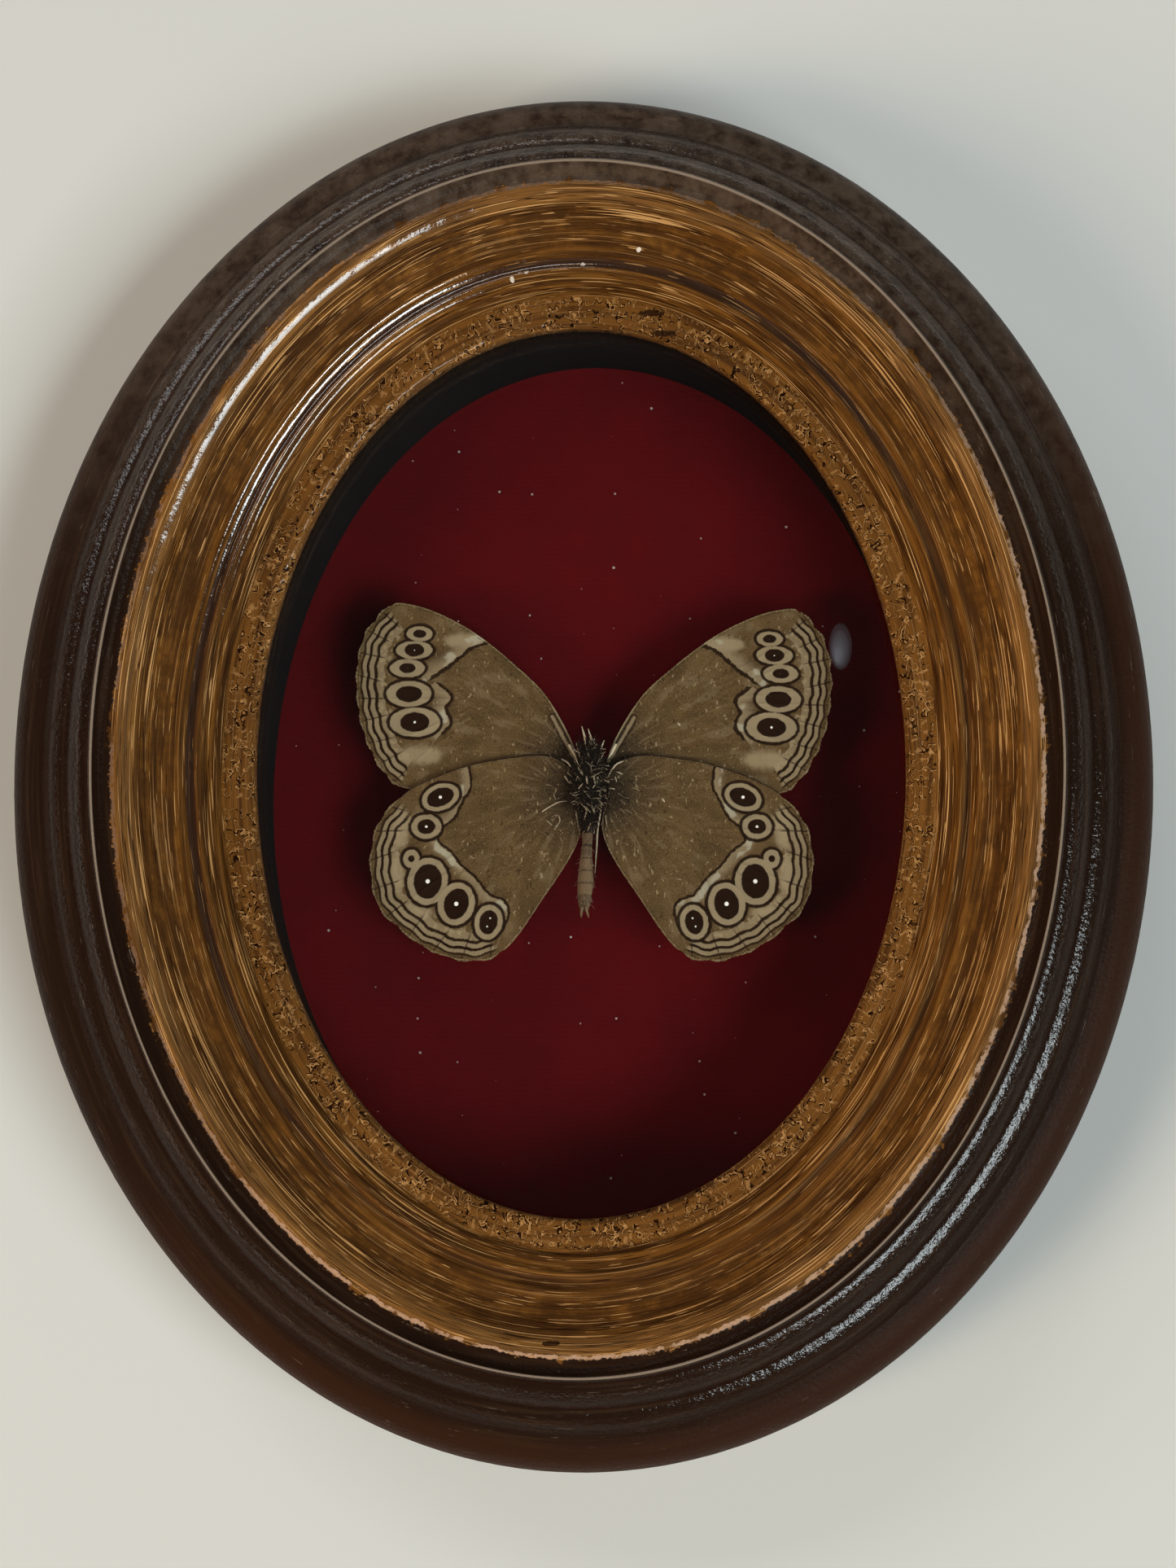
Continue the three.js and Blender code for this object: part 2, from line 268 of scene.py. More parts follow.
# %% Section points, by part: points, spacing of the fine points, bumps and pits in mm
SECTION_PARTS = [
    ("back rim", [[43.3, 0], [57.4, 0]], 5.0, 0.0, 0.0),
    ("outer side", [[61.4, 1.3], [64.2, 4.0], [65.4, 7.2], [65.6, 9.7], [65.2, 12.0], [63.9, 13.9],
                    [62.3, 14.8], [61.0, 15.2]], 1.35, 0.02, 0.0),
    ("outer bead", [[60.6, 15.5], [60.2, 16.0]], 0.3, 0.03, 0.0),
    ("first wave", [[59.4, 17.3], [58.6, 18.0], [57.8, 18.4], [57.2, 18.5]], 0.5, 0.05, 0.0),
    ("second wave", [[56.4, 20.0], [55.5, 21.0], [54.6, 21.6], [53.9, 21.8]], 0.5, 0.05, 0.0),
    ("crest", [[53.6, 22.9], [53.3, 23.35], [53.05, 23.35], [52.7, 22.9], [52.1, 22.4]], 0.2, 0.01, 0.0),
    ("gilt edge", [[51.3, 22.5], [50.6, 22.85], [50.2, 22.8]], 0.25, 0.04, 0.0),
    ("gilt slope", [[49.4, 22.3], [48.2, 21.5], [47.0, 20.8], [45.8, 20.25], [44.8, 20.0]], 0.5, 0.05, 0.0),
    ("cove outside", [[44.4, 20.0], [44.1, 19.85], [43.8, 19.4], [43.4, 19.15]], 0.2, 0.02, 0.0),
    ("cove floor", [[43.0, 19.15]], 0.3, 0.02, 0.0),
    ("bead", [[42.7, 19.6], [42.45, 19.85], [42.2, 19.7], [42.0, 19.25], [41.4, 18.95]], 0.2, 0.02, 0.0),
    ("step", [[40.6, 18.7], [40.2, 18.2], [39.4, 18.15]], 0.3, 0.03, 0.0),
    ("lip", [[38.2, 18.1], [37.0, 18.0], [36.5, 17.6]], 0.24, 0.02, 0.12),
    ("rebate front", [[36.5, 16.1]], 1.6, 0.0, 0.0),
    ("rebate shelf", [[42.9, 16.1]], 6.5, 0.0, 0.0),
    ("rebate wall", [[42.9, 0.4]], 16.0, 0.0, 0.0),
]


def smooth_line(points, spacing):
    """Points at even spacing along a smooth curve through the given points."""
    points = np.asarray(points, dtype=float)
    ends = np.vstack([2 * points[0] - points[1], points, 2 * points[-1] - points[-2]])
    t = np.linspace(0, 1, 24, endpoint=False)[:, None]
    fine = []
    for a, b, c, d in zip(ends, ends[1:], ends[2:], ends[3:]):
        fine.append(0.5 * (2 * b + (c - a) * t + (2 * a - 5 * b + 4 * c - d) * t**2
                           + (3 * b - a - 3 * c + d) * t**3))
    fine = np.vstack([*fine, points[-1:]])
    reach = np.concatenate([[0], np.cumsum(np.linalg.norm(np.diff(fine, axis=0), axis=1))])
    count = max(int(round(reach[-1] / spacing)), 1) + 1
    wanted = np.linspace(0, reach[-1], count)
    return np.column_stack([np.interp(wanted, reach, fine[:, k]) for k in range(fine.shape[1])])


def fine_section(parts):
    """The section's fine points: half width, height, travel along it, bump depth, pit depth."""
    rows = []
    start = parts[0][1][0]
    travel = 0.0
    for _, points, spacing, bumps, pits in parts:
        line = smooth_line([start] + [p for p in points if p != start], spacing)
        steps = np.linalg.norm(np.diff(line, axis=0), axis=1)
        for (r, h), step in zip(line[:-1], steps):
            rows.append([r, h, travel, bumps, pits])
            travel += step
        start = points[-1]
    return np.array(rows)


section = fine_section(SECTION_PARTS)
print(f"section of {len(section)} points, {len(SECTION_PARTS)} parts")

# %% [markdown]
# ## The ring rule as Geometry Nodes
# A grid of points is laid out with one direction round the oval and one across the section.
# The tree reads each grid point's place from the section and puts it on the oval. The seam
# closes because the last step has the first step's place. Small wobbles, bumps and worm-like
# pits move the surface along the section's own normal, and the tree stores how far round and
# across each point is, so that the paint can follow the brush.

# %% The section as a small mesh that the tree can sample
def section_object(name, rows):
    """x = half width, y = travel along the section, z = height, with normals and depths stored."""
    mesh = bpy.data.meshes.new(name)
    mesh.from_pydata([(r, travel, h) for r, h, travel, _, _ in rows], [], [])
    line = rows[:, :2]
    along = np.roll(line, -1, axis=0) - np.roll(line, 1, axis=0)
    along /= np.maximum(np.linalg.norm(along, axis=1, keepdims=True), 1e-9)
    normals = np.column_stack([along[:, 1], np.zeros(len(rows)), -along[:, 0]])
    for label, kind, values in (
        ("outward", "FLOAT_VECTOR", normals),
        ("bumps", "FLOAT", rows[:, 3]),
        ("pits", "FLOAT", rows[:, 4]),
    ):
        layer = mesh.attributes.new(label, kind, "POINT")
        layer.data.foreach_set("vector" if kind == "FLOAT_VECTOR" else "value", values.ravel())
    made = bpy.data.objects.new(name, mesh)
    bpy.context.scene.collection.objects.link(made)
    return made


def worm_field(tree, place):
    """A field whose middle value runs in short worm-like lines, and where they cluster. In mm."""
    line = noise(tree, place, 1.25, 0.0, 0.5, 1.0)
    cluster = rise(tree, noise(tree, place, 0.5, 1.0), 0.38, 0.47)
    return line, cluster


def worm_pits(tree, place):
    """1 in a dent, 0 elsewhere."""
    line, cluster = worm_field(tree, place)
    return calc(tree, "MULTIPLY", near(tree, line, 0.5, 0.02, 0.025), cluster)


def pit_highlight_rims(tree, place):
    """1 on the raised rim along one side of a dent, where a painted highlight goes."""
    line, cluster = worm_field(tree, place)
    return calc(tree, "MULTIPLY", near(tree, line, 0.575, 0.016, 0.02), cluster)

# %% [markdown]
# ## The tree of the ring
# The mesh could be worked out point by point in the script, but as a tree of nodes the ring is
# one rule with named inputs, and the black ring in the case can be made by the same rule.

# %% The ring's tree
def add_input(tree, name, kind, value=None):
    socket = tree.interface.new_socket(name, in_out="INPUT", socket_type=kind)
    if value is not None:
        socket.default_value = value


def ring_tree():
    tree = bpy.data.node_groups.new("oval ring", "GeometryNodeTree")
    tree.interface.new_socket("Ring", in_out="OUTPUT", socket_type="NodeSocketGeometry")
    add_input(tree, "Section", "NodeSocketObject")
    add_input(tree, "Steps", "NodeSocketInt", 100)
    add_input(tree, "Long extra", "NodeSocketFloat", 10.0)
    add_input(tree, "Centre", "NodeSocketVector")
    add_input(tree, "Wobble", "NodeSocketFloat", 0.0)
    add_input(tree, "Finish", "NodeSocketMaterial")
    given = tree.nodes.new("NodeGroupInput").outputs

    def field(label, kind):
        return node(tree, "GeometryNodeInputNamedAttribute", {"Name": label}, data_type=kind).outputs[0]

    points = node(tree, "GeometryNodeObjectInfo", {"Object": given["Section"]}).outputs["Geometry"]
    count = node(tree, "GeometryNodeAttributeDomainSize", {0: points}).outputs[0]
    wide = calc(tree, "ADD", count, 1.0)
    long = calc(tree, "ADD", given["Steps"], 1.0)
    grid = node(tree, "GeometryNodeMeshGrid", {"Vertices X": long, "Vertices Y": wide}).outputs["Mesh"]
    index = tree.nodes.new("GeometryNodeInputIndex").outputs[0]
    round_step = calc(tree, "FLOOR", calc(tree, "DIVIDE", calc(tree, "ADD", index, 0.5), wide))
    across = calc(tree, "SUBTRACT", index, calc(tree, "MULTIPLY", round_step, wide))
    across = calc(tree, "MODULO", across, count)
    turn = calc(tree, "DIVIDE", calc(tree, "MODULO", round_step, given["Steps"]), given["Steps"])
    angle = calc(tree, "MULTIPLY", turn, 2 * math.pi)

    def sampled(value, kind):
        sockets = {"Geometry": points, "Value": value, "Index": across}
        return node(tree, "GeometryNodeSampleIndex", sockets, data_type=kind).outputs[0]

    spot = separate(tree, sampled(tree.nodes.new("GeometryNodeInputPosition").outputs[0], "FLOAT_VECTOR"))
    outward = separate(tree, sampled(field("outward", "FLOAT_VECTOR"), "FLOAT_VECTOR"))
    bumps = sampled(field("bumps", "FLOAT"), "FLOAT")
    pits = sampled(field("pits", "FLOAT"), "FLOAT")
    cosine = calc(tree, "COSINE", angle)
    sine = calc(tree, "SINE", angle)

    def on_oval(half, height):
        """The place on the oval of a half width and a height above the wall."""
        tall = calc(tree, "ADD", half, given["Long extra"])
        flat = combine(tree, calc(tree, "MULTIPLY", cosine, half), calc(tree, "MULTIPLY", height, -1.0),
                       calc(tree, "MULTIPLY", sine, tall))
        return vector_calc(tree, "ADD", flat, given["Centre"])

    plain = on_oval(spot[0], spot[2])
    brush = combine(tree, calc(tree, "MULTIPLY", cosine, 8.0), calc(tree, "MULTIPLY", sine, 8.0), spot[1])
    slow = noise(tree, stretch(tree, brush, (0.16, 0.16, 0.1)), 1.0, 1.0)
    move = calc(tree, "MULTIPLY", calc(tree, "SUBTRACT", slow, 0.5), given["Wobble"])
    lumps = calc(tree, "SUBTRACT", noise(tree, plain, 0.75, 2.0), 0.5)
    move = calc(tree, "ADD", move, calc(tree, "MULTIPLY", lumps, calc(tree, "MULTIPLY", bumps, 3.0)))
    move = calc(tree, "SUBTRACT", move, calc(tree, "MULTIPLY", worm_pits(tree, plain), pits))
    half = calc(tree, "ADD", spot[0], calc(tree, "MULTIPLY", move, outward[0]))
    height = calc(tree, "ADD", spot[2], calc(tree, "MULTIPLY", move, outward[2]))
    place = node(tree, "ShaderNodeVectorMath", {0: on_oval(half, height), "Scale": MM},
                 operation="SCALE").outputs[0]

    shape = grid
    for label, kind, value in (("brush", "FLOAT_VECTOR", brush), ("half_width", "FLOAT", spot[0])):
        sockets = {"Geometry": shape, "Name": label, "Value": value}
        shape = node(tree, "GeometryNodeStoreNamedAttribute", sockets, data_type=kind).outputs[0]
    shape = node(tree, "GeometryNodeSetPosition", {"Geometry": shape, "Position": place}).outputs[0]
    shape = node(tree, "GeometryNodeMergeByDistance", {"Geometry": shape, "Distance": 1e-7}).outputs[0]
    shape = node(tree, "GeometryNodeSetShadeSmooth", {"Geometry": shape}).outputs[0]
    shape = node(tree, "GeometryNodeRealizeInstances", {"Geometry": shape}).outputs[0]
    shape = node(tree, "GeometryNodeSetMaterial", {"Geometry": shape, "Material": given["Finish"]}).outputs[0]
    output = tree.nodes.new("NodeGroupOutput")
    tree.links.new(shape, output.inputs[0])
    return tree


def grow(name, tree, values, base=None):
    """A plain mesh object made by a Geometry Nodes tree with the given inputs."""
    made = bpy.data.objects.new(name, base or bpy.data.meshes.new(name))
    bpy.context.scene.collection.objects.link(made)
    modifier = made.modifiers.new("rule", "NODES")
    modifier.node_group = tree
    for item in tree.interface.items_tree:
        if item.in_out == "INPUT" and item.name in values:
            modifier[item.identifier] = values[item.name]
    evaluated = made.evaluated_get(bpy.context.evaluated_depsgraph_get())
    mesh = bpy.data.meshes.new_from_object(evaluated)
    mesh.name = name
    made.modifiers.remove(modifier)
    made.data = mesh
    if volume_mm3(made) < 0:
        mesh.flip_normals()
    return made


ring_rule = ring_tree()

# %% [markdown]
# ## The frame's finish
# The outside is dark brown gloss paint over wood, and the inside is gilt that was brushed on
# round the oval, thin and worn. A painter could do this with image textures, but the brush
# marks follow the ring, so noise that is stretched along the stored brush direction does it
# better. The half width tells which part of the section a point is on.

# %% Colours and places of the finish
DARK_PAINT = colour(35, 21, 13)
DARK_PAINT_WORN = colour(50, 33, 22)
RED_SIDE = colour(54, 30, 18)
PALE_GREY_BROWN = colour(140, 122, 106)
TOP_SHEEN = colour(108, 90, 75)
BACK_WOOD = colour(92, 66, 44)
GILT = colour(122, 77, 29)
GILT_LIGHT = colour(204, 152, 94)
GILT_THIN = colour(80, 48, 19)
GILT_BARE = colour(62, 36, 15)
GILT_LIP = colour(112, 71, 29)
BEAD_BROWN = colour(66, 44, 33)
PIT_SHADE = colour(30, 11, 3)
SPECK_WHITE = colour(222, 206, 190)
EDGE_PINK = colour(196, 156, 126)
# Half widths of the section's parts that the finish follows, in mm
LIP_EDGE = 37.6
LIP_START = 40.2
BEAD_MIDDLE = 43.1
COVE_FLOOR = 43.2
THIN_GILT = 46.6
GILT_RIDGE = 49.9
GILT_OUTER_EDGE = 51.0
CREST_GROOVE = 53.18
WAVE_TOPS = (54.9, 58.0)
SIDE_START = 60.5
# Grooves darkened with painted shade: half width and how dark
SHADED_GROOVES = ((40.4, 0.35), (43.2, 0.3), (53.9, 0.6), (57.1, 0.7), (60.5, 0.7))
# Marks on the front, as the centre's x and z from the middle of the oval, and half sizes
CHIPS = [([7.9, 51.6], [1.4, 0.36]), ([9.3, 49.3], [1.5, 0.3]), ([-2.7, -63.2], [0.9, 0.25])]
SPECKS = [
    ([0.2, 56.7], 0.26), ([-7.7, 54.9], 0.24), ([-6.9, 55.7], 0.2), ([-6.1, 55.7], 0.22), ([6.5, 58.1], 0.26),
]
print(f"{len(CHIPS)} chips and {len(SPECKS)} specks on the frame")

# %% [markdown]
# ## Where each finish lies
# A mask is 1 where a finish shows and 0 elsewhere. Masks across the ring come from the half
# width, masks round it from the place, and the noises that fray them are shared by colour,
# gloss and relief, so that a flake of gilt looks, shines and stands out in the same place.

# %% Noises and masks of the wood
def mark(tree, place, centre, halves):
    """1 inside an upright ellipse in the plane of the wall, with a ragged edge."""
    parts = separate(tree, place)
    x = calc(tree, "DIVIDE", calc(tree, "SUBTRACT", parts[0], centre[0]), halves[0])
    z = calc(tree, "DIVIDE", calc(tree, "SUBTRACT", parts[2], CENTRE_Z + centre[1]), halves[1])
    far = calc(tree, "SQRT", calc(tree, "ADD", times(tree, x, x), times(tree, z, z)))
    far = calc(tree, "ADD", far, times(tree, noise(tree, place, 2.2, 2.0), 0.9))
    return rise(tree, far, 1.6, 1.3)


def marks(tree, place, spots):
    """1 in any of the given spots."""
    found = 0.0
    for centre, halves in spots:
        found = calc(tree, "MAXIMUM", found, mark(tree, place, centre, halves))
    return found


def wood_noises(tree):
    """Noises that run along the brush and noises that lie in the wood, by name."""
    brush = stored_vector(tree, "brush")
    place = place_mm(tree)
    return SimpleNamespace(
        place=place,
        wide_marks=noise(tree, stretch(tree, brush, (0.5, 0.5, 1.6)), 1.0, 2.0, 0.5),
        long_lines=noise(tree, stretch(tree, brush, (0.4, 0.4, 6.0)), 1.0, 1.0, 0.5, 0.2),
        short_lines=noise(tree, stretch(tree, brush, (1.3, 1.3, 6.6)), 1.0, 1.0, 0.5, 0.3),
        ticks=noise(tree, stretch(tree, brush, (9.0, 9.0, 1.1)), 1.0, 1.0, 0.5),
        mottle=noise(tree, place, 0.5, 3.0, 0.65),
        crumbs=noise(tree, place, 2.0, 2.0, 0.65),
        grain=noise(tree, place, 7.0, 2.0, 0.6),
    )


def wood_masks(tree, wood):
    """Adds the masks for the parts of the ring to the noises."""
    wood.reach = stored(tree, "half_width")
    spread = separate(tree, wood.place)
    upward = calc(tree, "SUBTRACT", spread[2], CENTRE_Z)
    ragged = times(tree, calc(tree, "SUBTRACT", wood.mottle, 0.5), 2.6)
    wood.ragged = calc(tree, "ADD", ragged, times(tree, calc(tree, "SUBTRACT", wood.crumbs, 0.5), 1.2))
    gilt_place = calc(tree, "ADD", wood.reach, wood.ragged)
    wood.gilded = rise(tree, gilt_place, GILT_OUTER_EDGE + 0.35, GILT_OUTER_EDGE)
    wood.on_lip = rise(tree, wood.reach, LIP_START, LIP_START - 0.8)
    wood.on_bead = near(tree, wood.reach, BEAD_MIDDLE, 1.1, 0.25)
    low_right = calc(tree, "SUBTRACT", spread[0], upward)
    wood.dull = rise(tree, calc(tree, "ADD", low_right, times(tree, wood.mottle, 20.0)), -10.0, 45.0)
    wood.bright_side = calc(tree, "SUBTRACT", 1.0, wood.dull)
    wood.high = rise(tree, upward, 15.0, 70.0)
    outer_lines = near(tree, wood.reach, 49.4, 1.4, 1.4)
    inner_lines = near(tree, wood.reach, 41.0, 0.8, 0.6)
    lined = calc(tree, "MAXIMUM", outer_lines, inner_lines)
    wood.lined = calc(tree, "ADD", times(tree, lined, 0.75), 0.25)
    wood.dent = times(tree, worm_pits(tree, wood.place), wood.on_lip)
    wood.chipped = marks(tree, wood.place, CHIPS)
    wood.speck = marks(tree, wood.place, [(centre, [size, size]) for centre, size in SPECKS])
    wood.behind = times(tree, rise(tree, spread[1], -9.0, -8.0),
                        rise(tree, wood.reach, SIDE_START + 1.0, SIDE_START + 0.3))

# %% [markdown]
# ## Colours of the gilding and the paint
# The gilding is laid thick and thin, with bright and dark brush lines and light ticks on the lip.
# A brown line in the cove is partly its own brown and partly a painted dark reflection, strongest
# on the upper left. The paint is two browns, redder low on the outer side, with a painted sheen
# of light from above towards the top, and a pale line on the sharp crest.

# %% Colours of the wood
def gilding(tree, wood):
    gilt = blend(tree, rise(tree, wood.wide_marks, 0.36, 0.66), GILT_THIN, GILT)
    thin_zone = near(tree, wood.reach, THIN_GILT, 1.4, 1.2)
    gilt = blend(tree, times(tree, thin_zone, rise(tree, wood.mottle, 0.3, 0.6), 0.6), gilt, GILT_BARE)
    # The cove's own brown, made stronger on the upper left as a painted dark reflection.
    cove_reflection_strength = calc(tree, "SUBTRACT", 0.85, times(tree, wood.dull, 0.6))
    cove_brown_and_reflection = times(tree, near(tree, wood.reach, COVE_FLOOR, 0.45, 0.25), cove_reflection_strength)
    gilt = blend(tree, cove_brown_and_reflection, gilt, BEAD_BROWN)
    gilt = blend(tree, times(tree, near(tree, wood.reach, 50.0, 0.7, 0.9), 0.12), gilt, GILT_LIGHT)
    dark_lines = times(tree, near(tree, wood.long_lines, 0.565, 0.012, 0.02), wood.lined)
    gilt = blend(tree, times(tree, dark_lines, 0.9), gilt, PIT_SHADE)
    gilt = blend(tree, times(tree, rise(tree, wood.short_lines, 0.34, 0.29), 0.7), gilt, PIT_SHADE)
    bright = times(tree, rise(tree, wood.long_lines, 0.62, 0.66), wood.lined)
    off_lip = calc(tree, "SUBTRACT", 1.0, wood.on_lip)
    dashes = times(tree, rise(tree, wood.short_lines, 0.67, 0.71), 0.85, off_lip)
    gilt = blend(tree, calc(tree, "MAXIMUM", bright, dashes), gilt, GILT_LIGHT)
    gilt = blend(tree, times(tree, wood.on_lip, rise(tree, wood.wide_marks, 0.3, 0.6), 0.6), gilt, GILT_LIP)
    lip_ticks = times(tree, rise(tree, wood.ticks, 0.60, 0.70), wood.on_lip, 0.35)
    return blend(tree, lip_ticks, gilt, GILT_LIGHT)


def dark_paint(tree, wood):
    paint = blend(tree, rise(tree, wood.wide_marks, 0.45, 0.75), DARK_PAINT, DARK_PAINT_WORN)
    red_side = times(tree, rise(tree, wood.reach, SIDE_START, SIDE_START + 2.0), wood.dull, 0.7)
    paint = blend(tree, red_side, paint, RED_SIDE)
    # A painted sheen of light from above lightens the paint towards the top.
    paint = blend(tree, times(tree, wood.high, rise(tree, wood.mottle, 0.2, 0.7), 0.5), paint, TOP_SHEEN)
    scuffs = times(tree, rise(tree, wood.short_lines, 0.70, 0.74), rise(tree, wood.mottle, 0.5, 0.6), 0.4)
    paint = blend(tree, scuffs, paint, PALE_GREY_BROWN)
    # A pale line lies along the sharp crest.
    return blend(tree, times(tree, near(tree, wood.reach, CREST_GROOVE, 0.09, 0.09), 0.9), paint, PALE_GREY_BROWN)


def wood_colour(tree, wood):
    """Paint and gilding: painted shade in dents and grooves, painted highlights on dent rims, a worn edge
    with a painted glint, chips, specks, the plain back.
    """
    # A pale worn edge of the gilt, made stronger towards the lower right as a painted glint.
    pale_edge_place = calc(tree, "ADD", wood.reach, times(tree, wood.ragged, 0.3))
    pale_edge_and_glint = times(tree, near(tree, pale_edge_place, 51.05, 0.15, 0.15), rise(tree, wood.mottle, 0.38, 0.5))
    pale_edge_and_glint = times(tree, pale_edge_and_glint, calc(tree, "ADD", 0.35, times(tree, wood.dull, 0.65)))
    shade = blend(tree, wood.gilded, dark_paint(tree, wood), gilding(tree, wood))
    # Painted shade darkens the dents, and a painted highlight lightens one rim of each.
    shade = blend(tree, wood.dent, shade, PIT_SHADE)
    dent_rim_highlight = times(tree, pit_highlight_rims(tree, wood.place), wood.on_lip, 0.6)
    shade = blend(tree, dent_rim_highlight, shade, GILT_LIGHT)
    shade = blend(tree, times(tree, pale_edge_and_glint, 0.8), shade, EDGE_PINK)
    # Painted shade darkens each groove.
    for groove, depth in SHADED_GROOVES:
        groove_shade = times(tree, near(tree, wood.reach, groove, 0.06, 0.26), depth)
        shade = blend(tree, groove_shade, shade, PIT_SHADE)
    shade = blend(tree, times(tree, wood.chipped, 0.9), shade, PIT_SHADE)
    shade = blend(tree, wood.speck, shade, SPECK_WHITE)
    return blend(tree, times(tree, wood.behind, 0.93), shade, BACK_WOOD)

# %% [markdown]
# ## Gloss and relief of the wood
# The tops of the waves are still glossy, and so are the bead, the gilt ridge and the edge of
# the lip on the upper left, where the rest has gone dull. The clear gloss lies over the colour
# as a coat with its own pebbled relief, because old gloss paint isn't level.

# %% Gloss and relief
def wood_coat(tree, wood):
    """How strong the clear gloss is."""
    waves = calc(tree, "MAXIMUM", *(near(tree, wood.reach, top, 0.45, 0.4) for top in WAVE_TOPS))
    coat = calc(tree, "MAXIMUM", times(tree, waves, 0.33), times(tree, wood.on_bead, wood.bright_side))
    for ring, half, soft, strength in ((GILT_RIDGE, 0.3, 0.3, 0.55), (LIP_EDGE, 0.5, 0.4, 0.5)):
        glossy = times(tree, near(tree, wood.reach, ring, half, soft), wood.bright_side, strength)
        coat = calc(tree, "MAXIMUM", coat, glossy)
    return coat


def wood_metal(tree, wood):
    """The gilding is partly metal, less where it is dull, and not where it is gone."""
    metal = times(tree, wood.gilded, calc(tree, "SUBTRACT", 0.25, times(tree, wood.dull, 0.15)))
    gone = calc(tree, "MAXIMUM", wood.chipped, wood.speck)
    metal = times(tree, metal, calc(tree, "SUBTRACT", 1.0, gone))
    return times(tree, metal, calc(tree, "SUBTRACT", 1.0, wood.behind))


def wood_roughness(tree, wood):
    gilt_rough = times(tree, wood.gilded, calc(tree, "ADD", 0.2, times(tree, wood.dull, 0.25)))
    rough = calc(tree, "ADD", 0.26, gilt_rough)
    rough = calc(tree, "ADD", rough, times(tree, near(tree, wood.reach, 47.5, 1.8, 0.8), 0.15))
    rough = calc(tree, "ADD", rough, times(tree, rise(tree, wood.reach, 60.4, 61.5), 0.22))
    rough = calc(tree, "SUBTRACT", rough, times(tree, wood.on_bead, wood.bright_side, 0.28))
    return calc(tree, "ADD", rough, times(tree, calc(tree, "SUBTRACT", wood.crumbs, 0.5), 0.3))


def wood_height(tree, wood):
    """Height of brush lines, crumbs and grain, less the dents and chips, in mm."""
    crumb_height = calc(tree, "SUBTRACT", 0.13, times(tree, wood.gilded, 0.06))
    height = times(tree, wood.long_lines, wood.lined, wood.gilded, 0.16)
    height = calc(tree, "ADD", height, times(tree, wood.short_lines, wood.gilded, 0.08))
    height = calc(tree, "ADD", height, times(tree, wood.crumbs, crumb_height))
    height = calc(tree, "ADD", height, times(tree, wood.grain, 0.012))
    height = calc(tree, "SUBTRACT", height, times(tree, wood.dent, 0.2))
    return calc(tree, "SUBTRACT", height, times(tree, wood.chipped, 0.15))


def turned_wood():
    made, tree, skin = new_material(
        "turned_wood", Coat_Roughness=0.1, Coat_IOR=1.9, Specular_IOR_Level=0.05)
    wood = wood_noises(tree)
    wood_masks(tree, wood)
    tree.links.new(wood_colour(tree, wood), skin.inputs["Base Color"])
    tree.links.new(wood_coat(tree, wood), skin.inputs["Coat Weight"])
    tree.links.new(wood_metal(tree, wood), skin.inputs["Metallic"])
    tree.links.new(wood_roughness(tree, wood), skin.inputs["Roughness"])
    relief(tree, skin, wood_height(tree, wood), 0.8)
    pebbles = times(tree, wood.crumbs, calc(tree, "SUBTRACT", 0.13, times(tree, wood.gilded, 0.1)))
    relief(tree, skin, pebbles, 0.8, ("Coat Normal",))
    return made


wood_finish = turned_wood()
print(f"turned wood of {len(wood_finish.node_tree.nodes)} nodes")

# %% [markdown]
# ## The frame itself
# The ring rule now carries the section round the oval. There are enough steps that the outer
# edge has no corners and the worm-like pits in the lip have their shape.

# %% Make the ring of the frame
frame_section = section_object("frame_section", section)
moulding = grow("oval_frame", ring_rule, {
    "Section": frame_section, "Steps": 780, "Long extra": LONG_EXTRA,
    "Centre": (0.0, 0.0, CENTRE_Z), "Wobble": 0.25, "Finish": wood_finish,
})
finish_piece(moulding, ["frame"])

# %% [markdown]
# ## The black ring in the case
# Behind the glass a loose ring of black card keeps the velvet away from the glass. It has
# slipped to the right and down, so more of its wall shows at the top left. The same ring rule
# makes it, from a plain section with soft edges.

# %% Black card
CARD_BLACK = colour(7, 4, 4)
CARD_WORN = colour(12, 8, 7)


def black_card():
    made, tree, skin = new_material("black_card", Roughness=0.9, Specular_IOR_Level=0.06)
    place = place_mm(tree)
    fibres = noise(tree, stretch(tree, place, (1.0, 3.0, 1.0)), 1.2, 4.0, 0.7)
    shade = blend(tree, rise(tree, fibres, 0.35, 0.7), CARD_BLACK, CARD_WORN)
    tree.links.new(shade, skin.inputs["Base Color"])
    relief(tree, skin, calc(tree, "MULTIPLY", fibres, 0.08))
    return made


spacer_low, spacer_high = box_mm("spacer_ring")
spacer_centre = (spacer_low + spacer_high) / 2
spacer_outer = (spacer_high[0] - spacer_low[0]) / 2
SPACER_WALL = 2.4
SPACER_EDGE = 0.25
inner = spacer_outer - SPACER_WALL
low, high = -spacer_high[1], -spacer_low[1]
spacer_parts = [
    ("back", [[inner + SPACER_EDGE, low], [spacer_outer - SPACER_EDGE, low]], 0.6, 0.0, 0.0),
    ("back corner", [[spacer_outer, low + SPACER_EDGE]], 0.2, 0.0, 0.0),
    ("outside", [[spacer_outer, high - SPACER_EDGE]], 1.0, 0.0, 0.0),
    ("front corner", [[spacer_outer - SPACER_EDGE, high]], 0.2, 0.0, 0.0),
    ("front", [[inner + SPACER_EDGE, high]], 0.6, 0.0, 0.0),
    ("sight corner", [[inner, high - SPACER_EDGE]], 0.2, 0.0, 0.0),
    ("inside", [[inner, low + SPACER_EDGE]], 0.8, 0.03, 0.0),
    ("last corner", [[inner + SPACER_EDGE, low]], 0.2, 0.0, 0.0),
]
spacer_section = section_object("spacer_section", fine_section(spacer_parts))
